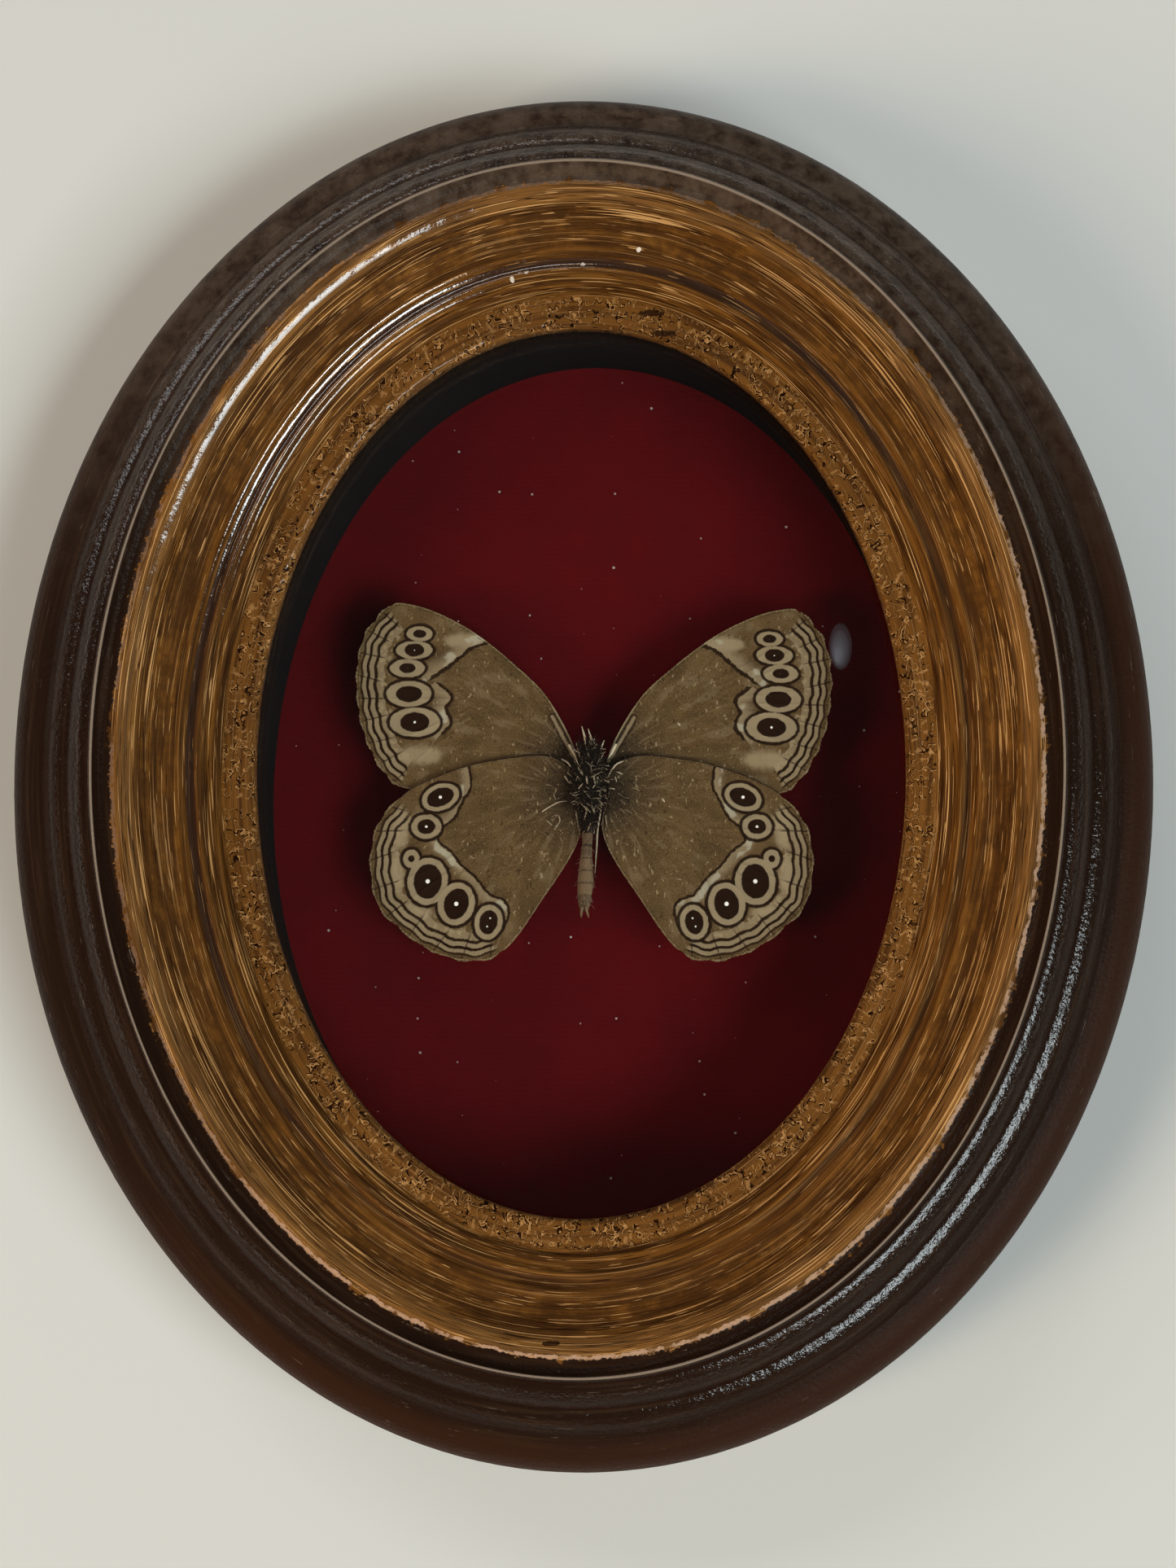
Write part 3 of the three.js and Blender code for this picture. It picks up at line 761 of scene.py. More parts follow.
spacer = grow("case_ring", ring_rule, {
    "Section": spacer_section, "Steps": 360, "Long extra": LONG_EXTRA,
    "Centre": (spacer_centre[0], 0.0, spacer_centre[2]), "Wobble": 0.15, "Finish": black_card(),
})
finish_piece(spacer, ["spacer_ring"])
for spent in (frame_section, spacer_section):
    bpy.data.objects.remove(spent)

# %% [markdown]
# ## Velvet
# The ground is dark red velvet, stretched over a board. The real cloth has a short pile on a
# woven ground whose rows still show. A flat plane would look like paint, so the sheet gets the
# slight waves of cloth pulled over card, and the pile is in the material: sheen for the pile's
# glow, and a fine relief of rows and fibres.

# %% Red velvet
VELVET_RED = colour(62, 4, 6)
VELVET_BRIGHT = colour(71, 6, 8)
VELVET_CLOUD = colour(56, 5, 7)
VELVET_ROW = colour(32, 3, 5)
DUST_WHITE = colour(150, 142, 136)
ROW_MM = 0.62
THREAD_MM = 0.36


def dust(tree, place, per_mm):
    """Sparse round specks on a surface parallel to the wall, 1 in a speck."""
    parts = separate(tree, place)
    flat = combine(tree, parts[0], parts[2], 0.0)
    cells = node(tree, "ShaderNodeTexVoronoi", {"Vector": flat, "Scale": per_mm}, voronoi_dimensions="2D")
    chance = separate(tree, cells.outputs["Color"])
    size = times(tree, chance[1], per_mm, 0.16)
    speck = calc(tree, "LESS_THAN", cells.outputs["Distance"], size)
    return times(tree, speck, calc(tree, "GREATER_THAN", chance[0], 0.55))


def red_velvet():
    made, tree, skin = new_material("red_velvet", Roughness=0.95, Sheen_Weight=0.06, Sheen_Roughness=0.4,
                                    Specular_IOR_Level=0.03)
    skin.inputs["Sheen Tint"].default_value = (0.6, 0.04, 0.05, 1)
    place = place_mm(tree)
    across = separate(tree, place)
    sway = noise(tree, stretch(tree, place, (0.25, 1.0, 0.05)), 1.0, 2.0)
    row_place = calc(tree, "ADD", across[2], calc(tree, "MULTIPLY", sway, 0.5))
    rows = calc(tree, "SINE", times(tree, row_place, 2 * math.pi / ROW_MM))
    threads = calc(tree, "SINE", times(tree, across[0], 2 * math.pi / THREAD_MM))
    pile = noise(tree, stretch(tree, place, (5.0, 5.0, 7.0)), 1.0, 3.0, 0.7)
    cloud = noise(tree, place, 0.12, 3.0, 0.6)
    shade = blend(tree, rise(tree, pile, 0.3, 0.7), VELVET_RED, VELVET_BRIGHT)
    shade = blend(tree, times(tree, rise(tree, cloud, 0.35, 0.7), 0.5), shade, VELVET_CLOUD)
    dark_row = times(tree, rise(tree, rows, -0.2, -1.0), 0.12)
    shade = blend(tree, dark_row, shade, VELVET_ROW)
    shade = blend(tree, times(tree, dust(tree, place, 0.21), 0.9), shade, DUST_WHITE)
    tree.links.new(shade, skin.inputs["Base Color"])
    height = calc(tree, "MULTIPLY", rows, 0.007)
    height = calc(tree, "ADD", height, calc(tree, "MULTIPLY", threads, 0.004))
    height = calc(tree, "ADD", height, calc(tree, "MULTIPLY", pile, 0.02))
    relief(tree, skin, height)
    return made

# %% [markdown]
# ## A thin sheet with an outline
# The velvet and the wings are thin sheets that are cut to an outline. Points are laid in rings
# from the middle to the edge, closer together near the edge, for a front and a back, and a
# narrow side joins the two. A grid cut by the outline would leave a stepped or uneven edge.

# %% A closed sheet from a polar grid
def polar_sheet(edge, middle, front_rings, back_rings):
    """Front and back of a thin sheet: plane points out from the middle to the edge, faces and side.

    Returns plane points, a front or back flag for each (1 or 0), and the faces.
    """
    edge = np.asarray(edge)
    steps = len(edge)
    points, flags, faces = [], [], []

    def add_side(rings, flag):
        first = len(points)
        points.append(middle)
        flags.append(flag)
        for ring in range(1, rings + 1):
            share = 1 - (1 - ring / rings) ** 1.25
            points.extend(middle + (edge - middle) * share)
            flags.extend([flag] * steps)
        for k in range(steps):
            after = (k + 1) % steps
            faces.append((first, first + 1 + k, first + 1 + after))
            for ring in range(rings - 1):
                low = first + 1 + ring * steps
                faces.append((low + k, low + steps + k, low + steps + after, low + after))
        return first + 1 + (rings - 1) * steps

    front_rim = add_side(front_rings, 1)
    front_faces = len(faces)
    back_rim = add_side(back_rings, 0)
    faces[front_faces:] = [tuple(reversed(face)) for face in faces[front_faces:]]
    for k in range(steps):
        after = (k + 1) % steps
        faces.append((front_rim + after, front_rim + k, back_rim + k, back_rim + after))
    return np.array(points), np.array(flags), faces


def sheet_piece(name, edge, middle, height_of, material, front_rings, back_rings):
    """A thin closed piece parallel to the wall. height_of(points, flags) gives heights above it."""
    points, flags, faces = polar_sheet(edge, np.asarray(middle, dtype=float), front_rings, back_rings)
    height = height_of(points, flags)
    made = make_piece(name, np.column_stack([points[:, 0], -height, points[:, 1]]), faces, material)
    if volume_mm3(made) < 0:
        made.data.flip_normals()
    return made

# %% [markdown]
# ## The velvet on its board
# The cloth is an oval as large as its board, pulled tight, so it has only faint waves.

# %% Make the velvet
velvet_low, velvet_high = box_mm("velvet")
VELVET_HALF = (velvet_high[0] - velvet_low[0]) / 2
VELVET_TALL = (velvet_high[2] - velvet_low[2]) / 2
velvet_front = -velvet_low[1]
velvet_back = -velvet_high[1]
turns = np.linspace(0, 2 * math.pi, 240, endpoint=False)
velvet_edge = np.column_stack([VELVET_HALF * np.cos(turns), CENTRE_Z + VELVET_TALL * np.sin(turns)])


def velvet_height(points, flags):
    x, z = points[:, 0], points[:, 1] - CENTRE_Z
    waves = np.sin(x / 9 + 0.8 * np.sin(z / 17)) * np.sin(z / 13 + 1.1) + 0.5 * np.sin(x / 5 + z / 6)
    front = velvet_front - 0.12 + 0.07 * waves
    return np.where(flags == 1, front, velvet_back + 0.02)


velvet = sheet_piece("velvet_ground", velvet_edge, (0, CENTRE_Z), velvet_height, red_velvet(), 60, 20)
finish_piece(velvet, ["velvet"])

# %% [markdown]
# ## Wings
# Each wing is one thin sheet. It shows its underside: brown scales, a row of ringed eyespots,
# a pale band with a dark edge, and fine lines along a scalloped margin. The pattern could be a
# picture, but lines and ellipses hold it better. The script measures how far every point of the
# wing lies from each line and ellipse, stores these distances, and the material turns them
# into colours. Distances are smooth, so the lines stay sharp at any size.
# Places are millimetres from the thorax, [out from the body, up], for one side.

# %% Wing outlines and marks
BUTTERFLY = np.array([0.9, -45.9])
WING_REACH = 27.3
WING_DROOP = 0.45
RIGHT_FOREWING_TURN = -1.7
WING_THICK = 0.16

FOREWING_OUTLINE = [
    [2.0, 4.3], [5.1, 10.1], [8.8, 13.9], [13.5, 17.7], [18.1, 20.2], [21.5, 21.2], [23.4, 21.1],
    [25.2, 19.4], [26.6, 17.2], [27.2, 14.4], [27.3, 11.5], [26.8, 7.5], [25.6, 4.1], [24.0, 1.5],
    [21.8, -0.2], [17.5, -0.3], [12.0, 0.4], [6.0, 1.1], [2.2, 2.0],
]
HINDWING_OUTLINE = [
    [2.0, 1.3], [3.6, 2.8], [5.4, 3.4], [8.2, 3.3], [12.8, 2.6], [16.2, 1.6], [19.4, 0.3],
    [22.0, -1.3], [24.5, -4.3], [25.4, -7.8], [25.3, -10.9], [24.4, -14.1], [22.2, -16.4],
    [19.3, -18.6], [15.8, -20.0], [12.4, -20.2], [10.1, -19.1], [8.1, -16.9], [5.3, -12.7],
    [3.2, -9.6], [1.6, -6.6], [1.2, -4.2], [1.9, -1.0],
]
# An eyespot: centre, half sizes of the pale ring, half sizes of the dark disc, turn in degrees, pupils
FOREWING_SPOTS = [
    ([20.0, 17.7], [1.5, 0.85], [0.75, 0.47], 0, [[0, 0, 0.13]]),
    ([20.6, 15.8], [2.1, 1.04], [1.13, 0.75], 0, [[0, 0, 0.16]]),
    ([21.4, 13.7], [2.0, 1.04], [0.94, 0.57], 0, [[0, 0, 0.13]]),
    ([21.2, 10.7], [2.6, 1.5], [1.5, 0.94], 0, []),
    ([20.5, 7.4], [2.9, 1.7], [1.7, 1.13], 0, [[0, 0, 0.25]]),
]
HINDWING_SPOTS = [
    ([17.4, -1.4], [2.2, 1.5], [1.6, 1.04], -20, [[0, 0, 0.3]]),
    ([19.0, -4.8], [1.7, 1.4], [1.04, 0.85], 0, [[0, 0, 0.26]]),
    ([20.7, -8.5], [0.94, 1.04], [0.38, 0.38], 0, []),
    ([18.8, -11.1], [2.3, 2.7], [1.6, 2.0], 8, [[0, 0, 0.38]]),
    ([15.5, -13.7], [2.1, 2.45], [1.4, 1.8], 15, [[0, 0, 0.38]]),
    ([11.8, -15.8], [1.6, 2.0], [1.04, 1.4], 12, [[-0.2, 0.45, 0.2], [0.15, -0.5, 0.2]]),
]
# Pale bands, drawn so that the pale side lies to the left of the line's direction
FOREWING_BANDS = [
    [[11.9, 16.9], [14.0, 16.1], [16.3, 14.2], [18.0, 13.1], [18.6, 12.6]],
    [[17.8, 11.7], [16.4, 10.4], [17.0, 9.0], [16.4, 7.4], [17.3, 6.2]],
]
HINDWING_BANDS = [
    [[14.3, 2.2], [14.0, 0.0], [14.8, -1.7], [15.9, -3.8], [17.4, -5.0], [17.6, -6.6], [16.1, -7.8],
     [15.0, -9.3], [13.3, -10.8], [11.8, -12.7], [10.1, -13.4], [9.6, -14.7], [10.1, -16.4]],
]
WINGS = {
    "forewing": {
        "outline": FOREWING_OUTLINE, "middle": [14.5, 9.5], "margin": [6, 14], "spots": FOREWING_SPOTS,
        "bands": FOREWING_BANDS, "band_width": 1.3, "root": [1.5, 3.0], "cell": [10.5, 10.0], "veins": 9,
        "streaks": [[[4.6, 8.0], [3.5, 5.9], [2.65, 4.4], [1.8, 2.95]]],
        "smudges": [[[19.8, 3.6], [2.7, 1.3]], [[14.9, 16.9], [2.4, 1.0]], [[2.25, 4.0], [0.4, 0.8]]],
    },
    "hindwing": {
        "outline": HINDWING_OUTLINE, "middle": [13.5, -7.5], "margin": [7, 16], "spots": HINDWING_SPOTS,
        "bands": HINDWING_BANDS, "band_width": 1.0, "root": [1.6, -1.0], "cell": [9.5, -5.0], "veins": 9,
        "streaks": [],
        "smudges": [[[21.9, -5.0], [1.1, 2.6]], [[22.3, -10.2], [1.0, 2.2]], [[19.8, -14.6], [1.6, 0.9]]],
    },
}

# %% [markdown]
# ## Distances on a wing
# The outlines and lines above are a few points each. A smooth curve goes through them, and
# three small measures, to a line, to an ellipse and to a point, give every distance that the
# markings need.

# %% Distances on a wing
def closed_curve(points, count):
    """Even points round a smooth closed curve through the given points."""
    points = np.asarray(points, dtype=float)
    around = np.vstack([points[-1:], points, points[:2]])
    t = np.linspace(0, 1, 40, endpoint=False)[:, None]
    fine = []
    for a, b, c, d in zip(around, around[1:], around[2:], around[3:]):
        fine.append(0.5 * (2 * b + (c - a) * t + (2 * a - 5 * b + 4 * c - d) * t**2
                           + (3 * b - a - 3 * c + d) * t**3))
    fine = np.vstack(fine)
    fine = np.vstack([fine, fine[:1]])
    reach = np.concatenate([[0], np.cumsum(np.linalg.norm(np.diff(fine, axis=0), axis=1))])
    wanted = np.linspace(0, reach[-1], count, endpoint=False)
    return np.column_stack([np.interp(wanted, reach, fine[:, k]) for k in range(2)])


def to_line(points, line):
    """Distance from each point to a line of points, its side (1 to the left), and how far along."""
    line = np.asarray(line, dtype=float)
    best = np.full(len(points), 1e9)
    side = np.zeros(len(points))
    along = np.zeros(len(points))
    walked = 0.0
    for a, b in zip(line, line[1:]):
        span = b - a
        length = np.linalg.norm(span)
        share = np.clip((points - a) @ span / length**2, 0, 1)
        off = points - a - share[:, None] * span
        distance = np.linalg.norm(off, axis=1)
        closer = distance < best
        best = np.where(closer, distance, best)
        turn = span[0] * off[:, 1] - span[1] * off[:, 0]
        side = np.where(closer, np.sign(turn), side)
        along = np.where(closer, walked + share * length, along)
        walked += length
    return best, side, along


def to_ellipse(points, centre, halves, degrees):
    """About how far outside an ellipse each point is, below zero inside."""
    turn = math.radians(degrees)
    off = points - np.asarray(centre)
    x = off[:, 0] * math.cos(turn) + off[:, 1] * math.sin(turn)
    z = -off[:, 0] * math.sin(turn) + off[:, 1] * math.cos(turn)
    share = np.hypot(x / halves[0], z / halves[1])
    distance = np.hypot(x, z)
    return distance - distance / np.maximum(share, 1e-6)


def wing_fields(kind, points):
    """The stored distances of one wing, in mm, by name."""
    wing = WINGS[kind]
    outline = closed_curve(wing["outline"], 600)
    first, last = (np.argmin(np.linalg.norm(outline - wing["outline"][k], axis=1)) for k in wing["margin"])
    margin_line = outline[first:last + 1]
    margin, _, margin_along = to_line(points, margin_line)
    far = np.full(len(points), 9.0)
    rim = to_line(points, np.vstack([outline, outline[:1]]))[0]
    ring = np.full(len(points), 9.0)
    disc = np.full(len(points), 9.0)
    pupil = np.full(len(points), 9.0)
    for centre, ring_half, disc_half, degrees, pupils in wing["spots"]:
        ring = np.minimum(ring, to_ellipse(points, centre, ring_half, degrees))
        disc = np.minimum(disc, to_ellipse(points, centre, disc_half, degrees))
        for x, z, radius in pupils:
            spot = np.linalg.norm(points - centre - [x, z], axis=1) - 0.75 * radius
            pupil = np.minimum(pupil, spot)
    band = np.full(len(points), 9.0)
    for line in wing["bands"]:
        fine = smooth_line(line, 0.2)
        distance, side, _ = to_line(points, fine)
        signed = distance * side
        band = np.where(np.abs(signed) < np.abs(band), signed, band)
    band = band / wing["band_width"]
    streak = np.min([far] + [to_line(points, line)[0] for line in wing["streaks"]], axis=0)
    smudge = np.min([to_ellipse(points, centre, halves, 0) / min(halves)
                     for centre, halves in wing["smudges"]], axis=0)
    length = np.linalg.norm(np.diff(margin_line, axis=0), axis=1).sum()
    vein_ends = [margin_line[int((k + 0.5) / wing["veins"] * len(margin_line))] for k in range(wing["veins"])]
    cell = np.array(wing["cell"])
    vein = np.full(len(points), 9.0)
    for k, end in enumerate(vein_ends):
        start = cell + (end - cell) * 0.25
        bow = (start + end) / 2 + np.array([-(end - start)[1], (end - start)[0]]) * 0.05 * (k % 3 - 1)
        vein = np.minimum(vein, to_line(points, [start, bow, end])[0])
    vein = np.minimum(vein, to_line(points, [wing["root"], cell])[0])
    root = np.linalg.norm(points - wing["root"], axis=1)
    front_edge = outline[:np.argmin(np.linalg.norm(outline - wing["outline"][7], axis=1))]
    front = to_line(points, front_edge)[0]
    seam, costa = (front, far) if kind == "hindwing" else (far, front)
    fan = np.arctan2(points[:, 1] - wing["root"][1], points[:, 0] - wing["root"][0]) * 9
    run = margin_along / length
    scallop = 0.5 - 0.5 * np.cos(2 * math.pi * run * wing["veins"])
    return {
        "margin": margin, "run": run, "rim": rim, "ring": ring, "disc": disc, "pupil": pupil,
        "band": band, "streak": streak, "smudge": smudge, "vein": vein, "root": root,
        "seam": seam, "costa": costa, "fan": fan, "scallop": scallop,
    }

# %% [markdown]
# ## Wing scales
# Seen close, a wing is covered in dull scales in rows, so its surface is matt with a fine
# grain. The material reads the stored distances, shakes them a little with noise so that no
# line is ruled, and lays the colours over each other in the order in which they show.

# %% Wing colours and values
WING_BROWN = colour(66, 47, 24)
WING_TAN = colour(77, 57, 31)
WING_DUSK = colour(41, 29, 17)
WING_CREAM = colour(119, 102, 78)
WING_PALE = colour(128, 110, 84)
WING_LINE = colour(26, 11, 3)
SPOT_DARK = colour(26, 11, 3)
PUPIL_WHITE = colour(206, 196, 186)
WING_FROST = colour(136, 127, 108)
# Lines along the margin: distance in from the edge, half width, colour and strength
MARGIN_LINES = [
    (0.50, 0.08, WING_LINE, 0.85), (0.88, 0.17, WING_CREAM, 0.8), (1.25, 0.10, WING_LINE, 1.0),
    (1.68, 0.20, WING_CREAM, 0.85), (2.14, 0.11, WING_LINE, 0.95), (2.75, 0.35, WING_PALE, 0.5),
]


def shaken(tree, wing, name, amount):
    """A stored distance, moved a little by the noises."""
    moved = calc(tree, "ADD", stored(tree, name), times(tree, wing.shake, amount))
    return calc(tree, "ADD", moved, times(tree, wing.jitter, amount * 0.4))


def wing_values(tree):
    """The noises and shaken distances of a wing, by name."""
    wing = SimpleNamespace(place=place_mm(tree), root=stored(tree, "root"))
    wing.shake = calc(tree, "SUBTRACT", noise(tree, wing.place, 1.6, 2.0), 0.5)
    wing.jitter = calc(tree, "SUBTRACT", noise(tree, wing.place, 5.0, 1.0), 0.5)
    wing.fine = noise(tree, wing.place, 7.0, 3.0, 0.7)
    wing.patch = noise(tree, wing.place, 0.35, 3.0, 0.6)
    for name, amount in (
        ("margin", 0.22), ("ring", 0.24), ("disc", 0.22), ("band", 0.4), ("vein", 0.1),
        ("smudge", 0.6), ("streak", 0.2), ("rim", 0.2), ("costa", 0.1), ("seam", 0.1),
    ):
        setattr(wing, name, shaken(tree, wing, name, amount))
    wing.margin = calc(tree, "SUBTRACT", wing.margin, times(tree, stored(tree, "scallop"), 0.2))
    run = stored(tree, "run")
    wing.on_margin = times(tree, rise(tree, run, 0.0, 0.05), rise(tree, run, 1.0, 0.97))
    return wing

# %% [markdown]
# ## Layers of the wing's colour
# The colours lie over each other like coats of scales: first the ground, then the pale band,
# the margin lines and the veins, and last the eyespots and the edges. Each layer is a mask, a
# colour and a strength, so the order of the list is the order in which they are laid.

# %% Layers
def ground_layers(tree, wing):
    """Browns in patches, dusk towards the root, fine scales, rays and flecks."""
    flecks = noise(tree, stretch(tree, wing.place, (2.6, 1.0, 1.5)), 1.0, 1.0, 0.5, 0.4)
    fan = combine(tree, stored(tree, "fan"), times(tree, wing.root, 0.25), 0.0)
    rays = noise(tree, fan, 1.0, 2.0)
    off_root = rise(tree, wing.root, 1.5, 5.0)
    return [
        (rise(tree, wing.patch, 0.35, 0.7), WING_TAN, 1.0),
        (rise(tree, wing.margin, 4.6, 2.6), WING_TAN, 0.5),
        (rise(tree, wing.root, 9.0, 1.0), WING_DUSK, 1.0),
        (rise(tree, wing.root, 3.2, 1.2), WING_LINE, 0.6),
        (rise(tree, wing.fine, 0.45, 0.7), WING_PALE, 0.25),
        (rise(tree, wing.fine, 0.5, 0.3), WING_DUSK, 0.35),
        (times(tree, rise(tree, rays, 0.5, 0.66), off_root), WING_DUSK, 0.28),
        (times(tree, rise(tree, rays, 0.46, 0.34), off_root), WING_PALE, 0.16),
        (rise(tree, flecks, 0.69, 0.73), WING_PALE, 0.6),
        (rise(tree, flecks, 0.31, 0.27), WING_LINE, 0.5),
    ]


def band_layers(tree, wing):
    """Smudges and blots, the pale band with its dark edge, margin lines, veins and streaks."""
    near_margin = near(tree, wing.margin, 3.0, 0.45, 0.5)
    blots = times(tree, near_margin, rise(tree, wing.shake, 0.0, 0.12), wing.on_margin)
    band = times(tree, rise(tree, wing.band, 0.0, 0.10), rise(tree, wing.band, 1.5, 0.2))
    frost_patch = rise(tree, noise(tree, wing.place, 0.55, 1.0), 0.52, 0.62)
    frost = times(tree, near(tree, wing.band, 0.5, 0.25, 0.25), frost_patch)
    veins = times(tree, rise(tree, wing.vein, 0.13, 0.05), rise(tree, wing.margin, 3.4, 2.4), wing.on_margin)
    margin_lines = [
        (times(tree, near(tree, wing.margin, offset, half, 0.1), wing.on_margin), tint, strength)
        for offset, half, tint, strength in MARGIN_LINES
    ]
    return [
        (rise(tree, wing.smudge, 0.3, -0.8), WING_PALE, 0.75),
        (blots, WING_PALE, 0.7),
        (band, WING_CREAM, 0.68),
        (frost, WING_FROST, 0.8),
        (near(tree, wing.band, -0.12, 0.10, 0.10), WING_LINE, 0.95),
        *margin_lines,
        (veins, WING_LINE, 0.75),
        (rise(tree, wing.streak, 0.26, 0.1), WING_CREAM, 0.8),
        (near(tree, wing.streak, 0.36, 0.06, 0.1), WING_LINE, 0.6),
    ]


def spot_and_edge_layers(tree, wing):
    """Eyespots from ring to pupil, the frayed rim, the pale front edge and a painted shadow along the
    hindwing's front edge.
    """
    pale_rim = times(tree, rise(tree, wing.rim, 0.2, 0.06), rise(tree, wing.fine, 0.4, 0.6))
    dark_rim = times(tree, near(tree, wing.rim, 0.26, 0.03, 0.08), rise(tree, wing.jitter, -0.02, 0.06))
    front_edge = times(tree, rise(tree, wing.costa, 0.22, 0.12), rise(tree, wing.root, 8.0, 6.0))
    return [
        (rise(tree, wing.ring, 0.50, 0.30), WING_LINE, 0.97),
        (rise(tree, wing.ring, 0.08, -0.06), WING_CREAM, 1.0),
        (rise(tree, wing.disc, 0.08, -0.06), SPOT_DARK, 1.0),
        (rise(tree, stored(tree, "pupil"), 0.0, -0.08), PUPIL_WHITE, 1.0),
        (pale_rim, WING_PALE, 0.75),
        (dark_rim, WING_LINE, 0.5),
        (front_edge, WING_CREAM, 0.85),
        # A painted shadow darkens the hindwing's front edge, where it lies over the forewing.
        (rise(tree, wing.seam, 0.16, 0.06), WING_LINE, 0.95),
    ]


def wing_scales():
    made, tree, skin = new_material("wing_scales", Roughness=0.85, Specular_IOR_Level=0.05)
    wing = wing_values(tree)
    skin_colour = WING_BROWN
    for layers in (ground_layers, band_layers, spot_and_edge_layers):
        for mask, tint, strength in layers(tree, wing):
            skin_colour = blend(tree, times(tree, mask, strength), skin_colour, tint)
    tree.links.new(skin_colour, skin.inputs["Base Color"])
    open_ground = rise(tree, wing.ring, 0.2, 0.5)
    height = times(tree, wing.fine, 0.05)
    height = calc(tree, "ADD", height, times(tree, rise(tree, wing.vein, 0.25, 0.0), 0.03))
    height = calc(tree, "ADD", height, times(tree, open_ground, wing.patch, 0.1))
    relief(tree, skin, height)
    return made


scales = wing_scales()
print(f"wing scales of {len(scales.node_tree.nodes)} nodes")

# %% [markdown]
# ## The four wings
# The outline is scalloped along the outer margin and a little frayed, and the sheet droops
# towards its tip, ripples slightly and rises along the veins. Left and right wings come from
# one outline, and the right forewing is set at a slightly lower angle.

# %% Make the four wings
EDGE_STEPS = 420
WING_RINGS = (84, 22)


def scalloped(kind):
    """The outline with shallow scallops along the outer margin and a slightly frayed edge."""
    wing = WINGS[kind]
    outline = closed_curve(wing["outline"], EDGE_STEPS)
    middle = np.array(wing["middle"])
    fields = wing_fields(kind, outline)
    on_margin = np.clip(1 - fields["margin"] / 0.6, 0, 1)
    draws = np.random.default_rng(7 if kind == "forewing" else 11)
    fray = draws.uniform(-1, 1, EDGE_STEPS) * 0.05
    outward = outline - middle
    outward /= np.linalg.norm(outward, axis=1, keepdims=True)
    push = on_margin * (fields["scallop"] - 0.5) * 0.22 + fray * (0.4 + on_margin)
    return outline + outward * push[:, None]


def make_wing(kind, side):
    name = f"{kind}_{'left' if side < 0 else 'right'}"
    low, _ = box_mm(name)
    level = -low[1]
    turn = math.radians(RIGHT_FOREWING_TURN if name == "forewing_right" else 0)

    def placed(points):
        x = side * points[:, 0]
        z = points[:, 1]
        return np.column_stack([x * math.cos(turn) - z * math.sin(turn) + BUTTERFLY[0],
                                x * math.sin(turn) + z * math.cos(turn) + BUTTERFLY[1]])

    edge = scalloped(kind)
    points, flags, faces = polar_sheet(edge, np.array(WINGS[kind]["middle"]), *WING_RINGS)
    fields = wing_fields(kind, points)
    out = points[:, 0] / WING_REACH
    ripple = 0.05 * np.sin(points[:, 0] * 0.9 + 0.4 * points[:, 1]) * np.clip(fields["rim"] / 3, 0, 1)
    ridge = 0.05 * np.exp(-(fields["vein"] / 0.22) ** 2)
    front = level - 0.1 - WING_DROOP * out**2 + ripple + ridge
    height = np.where(flags == 1, front, front - WING_THICK)
    spots = placed(points)
    wing = make_piece(name + "_wing", np.column_stack([spots[:, 0], -height, spots[:, 1]]), faces, scales)
    if volume_mm3(wing) < 0:
        wing.data.flip_normals()
    for label, values in fields.items():
        layer = wing.data.attributes.new(label, "FLOAT", "POINT")
        layer.data.foreach_set("value", values.astype(np.float32))
    finish_piece(wing, [name])
    return wing


wings = [make_wing(kind, side) for kind in ("forewing", "hindwing") for side in (-1, 1)]

# %% [markdown]
# ## Body
# The real body is soft and hairy: a dark thorax, a small head with eyes and two palps, and a
# thin abdomen of rings that ends in a pair of claspers. It could be one sculpted skin, but
# tubes whose radius changes along their line say the shape in a few numbers. Their union is
# remeshed into one skin, so that no seam shows where they meet.
# Places are millimetres from the thorax, [right, up, height above the wall].

# %% Tubes and the body's skin
BODY_HEIGHT = 10.9
THORAX = {"x": -0.2, "z": 0.2, "halves": (1.6, 3.15, 1.6)}
# How far down the abdomen, and its radius there
ABDOMEN = [[0, 0.3], [0.3, 0.55], [2.5, 0.6], [4.5, 0.55], [7.0, 0.75], [8.6, 0.85],
           [10.4, 0.75], [11.6, 0.55], [11.9, 0.2]]
ABDOMEN_TOP = np.array([-0.3, -2.7])
ABDOMEN_SLANT = math.radians(-2.5)
SEGMENT = 1.45


def tube(line, radii, sides=10):
    """Points and faces of a closed tube along a line of [x, y, z], with a radius at each point."""
    line = np.asarray(line, dtype=float)
    ahead = np.gradient(line, axis=0)
    ahead /= np.linalg.norm(ahead, axis=1, keepdims=True)
    across = np.cross(ahead, [0.31, 0.9, 0.3])
    across /= np.linalg.norm(across, axis=1, keepdims=True)
    up = np.cross(ahead, across)
    around = np.linspace(0, 2 * math.pi, sides, endpoint=False)
    rings = [p + r * (np.cos(around)[:, None] * a + np.sin(around)[:, None] * u)
             for p, r, a, u in zip(line, radii, across, up)]
    faces = [tuple(reversed(range(sides)))]
    for ring in range(len(line) - 1):
        for k in range(sides):
            after = (k + 1) % sides
            low = ring * sides
            faces.append((low + k, low + after, low + sides + after, low + sides + k))
    faces.append(tuple(range((len(line) - 1) * sides, len(line) * sides)))
    return np.vstack(rings), faces


def joined(shells):
    """Points and faces of several shells in one list."""
    points, faces, first = [], [], 0
    for shell_points, shell_faces in shells:
        points.append(shell_points)
        faces += [tuple(first + k for k in face) for face in shell_faces]
        first += len(shell_points)
    return np.vstack(points), faces


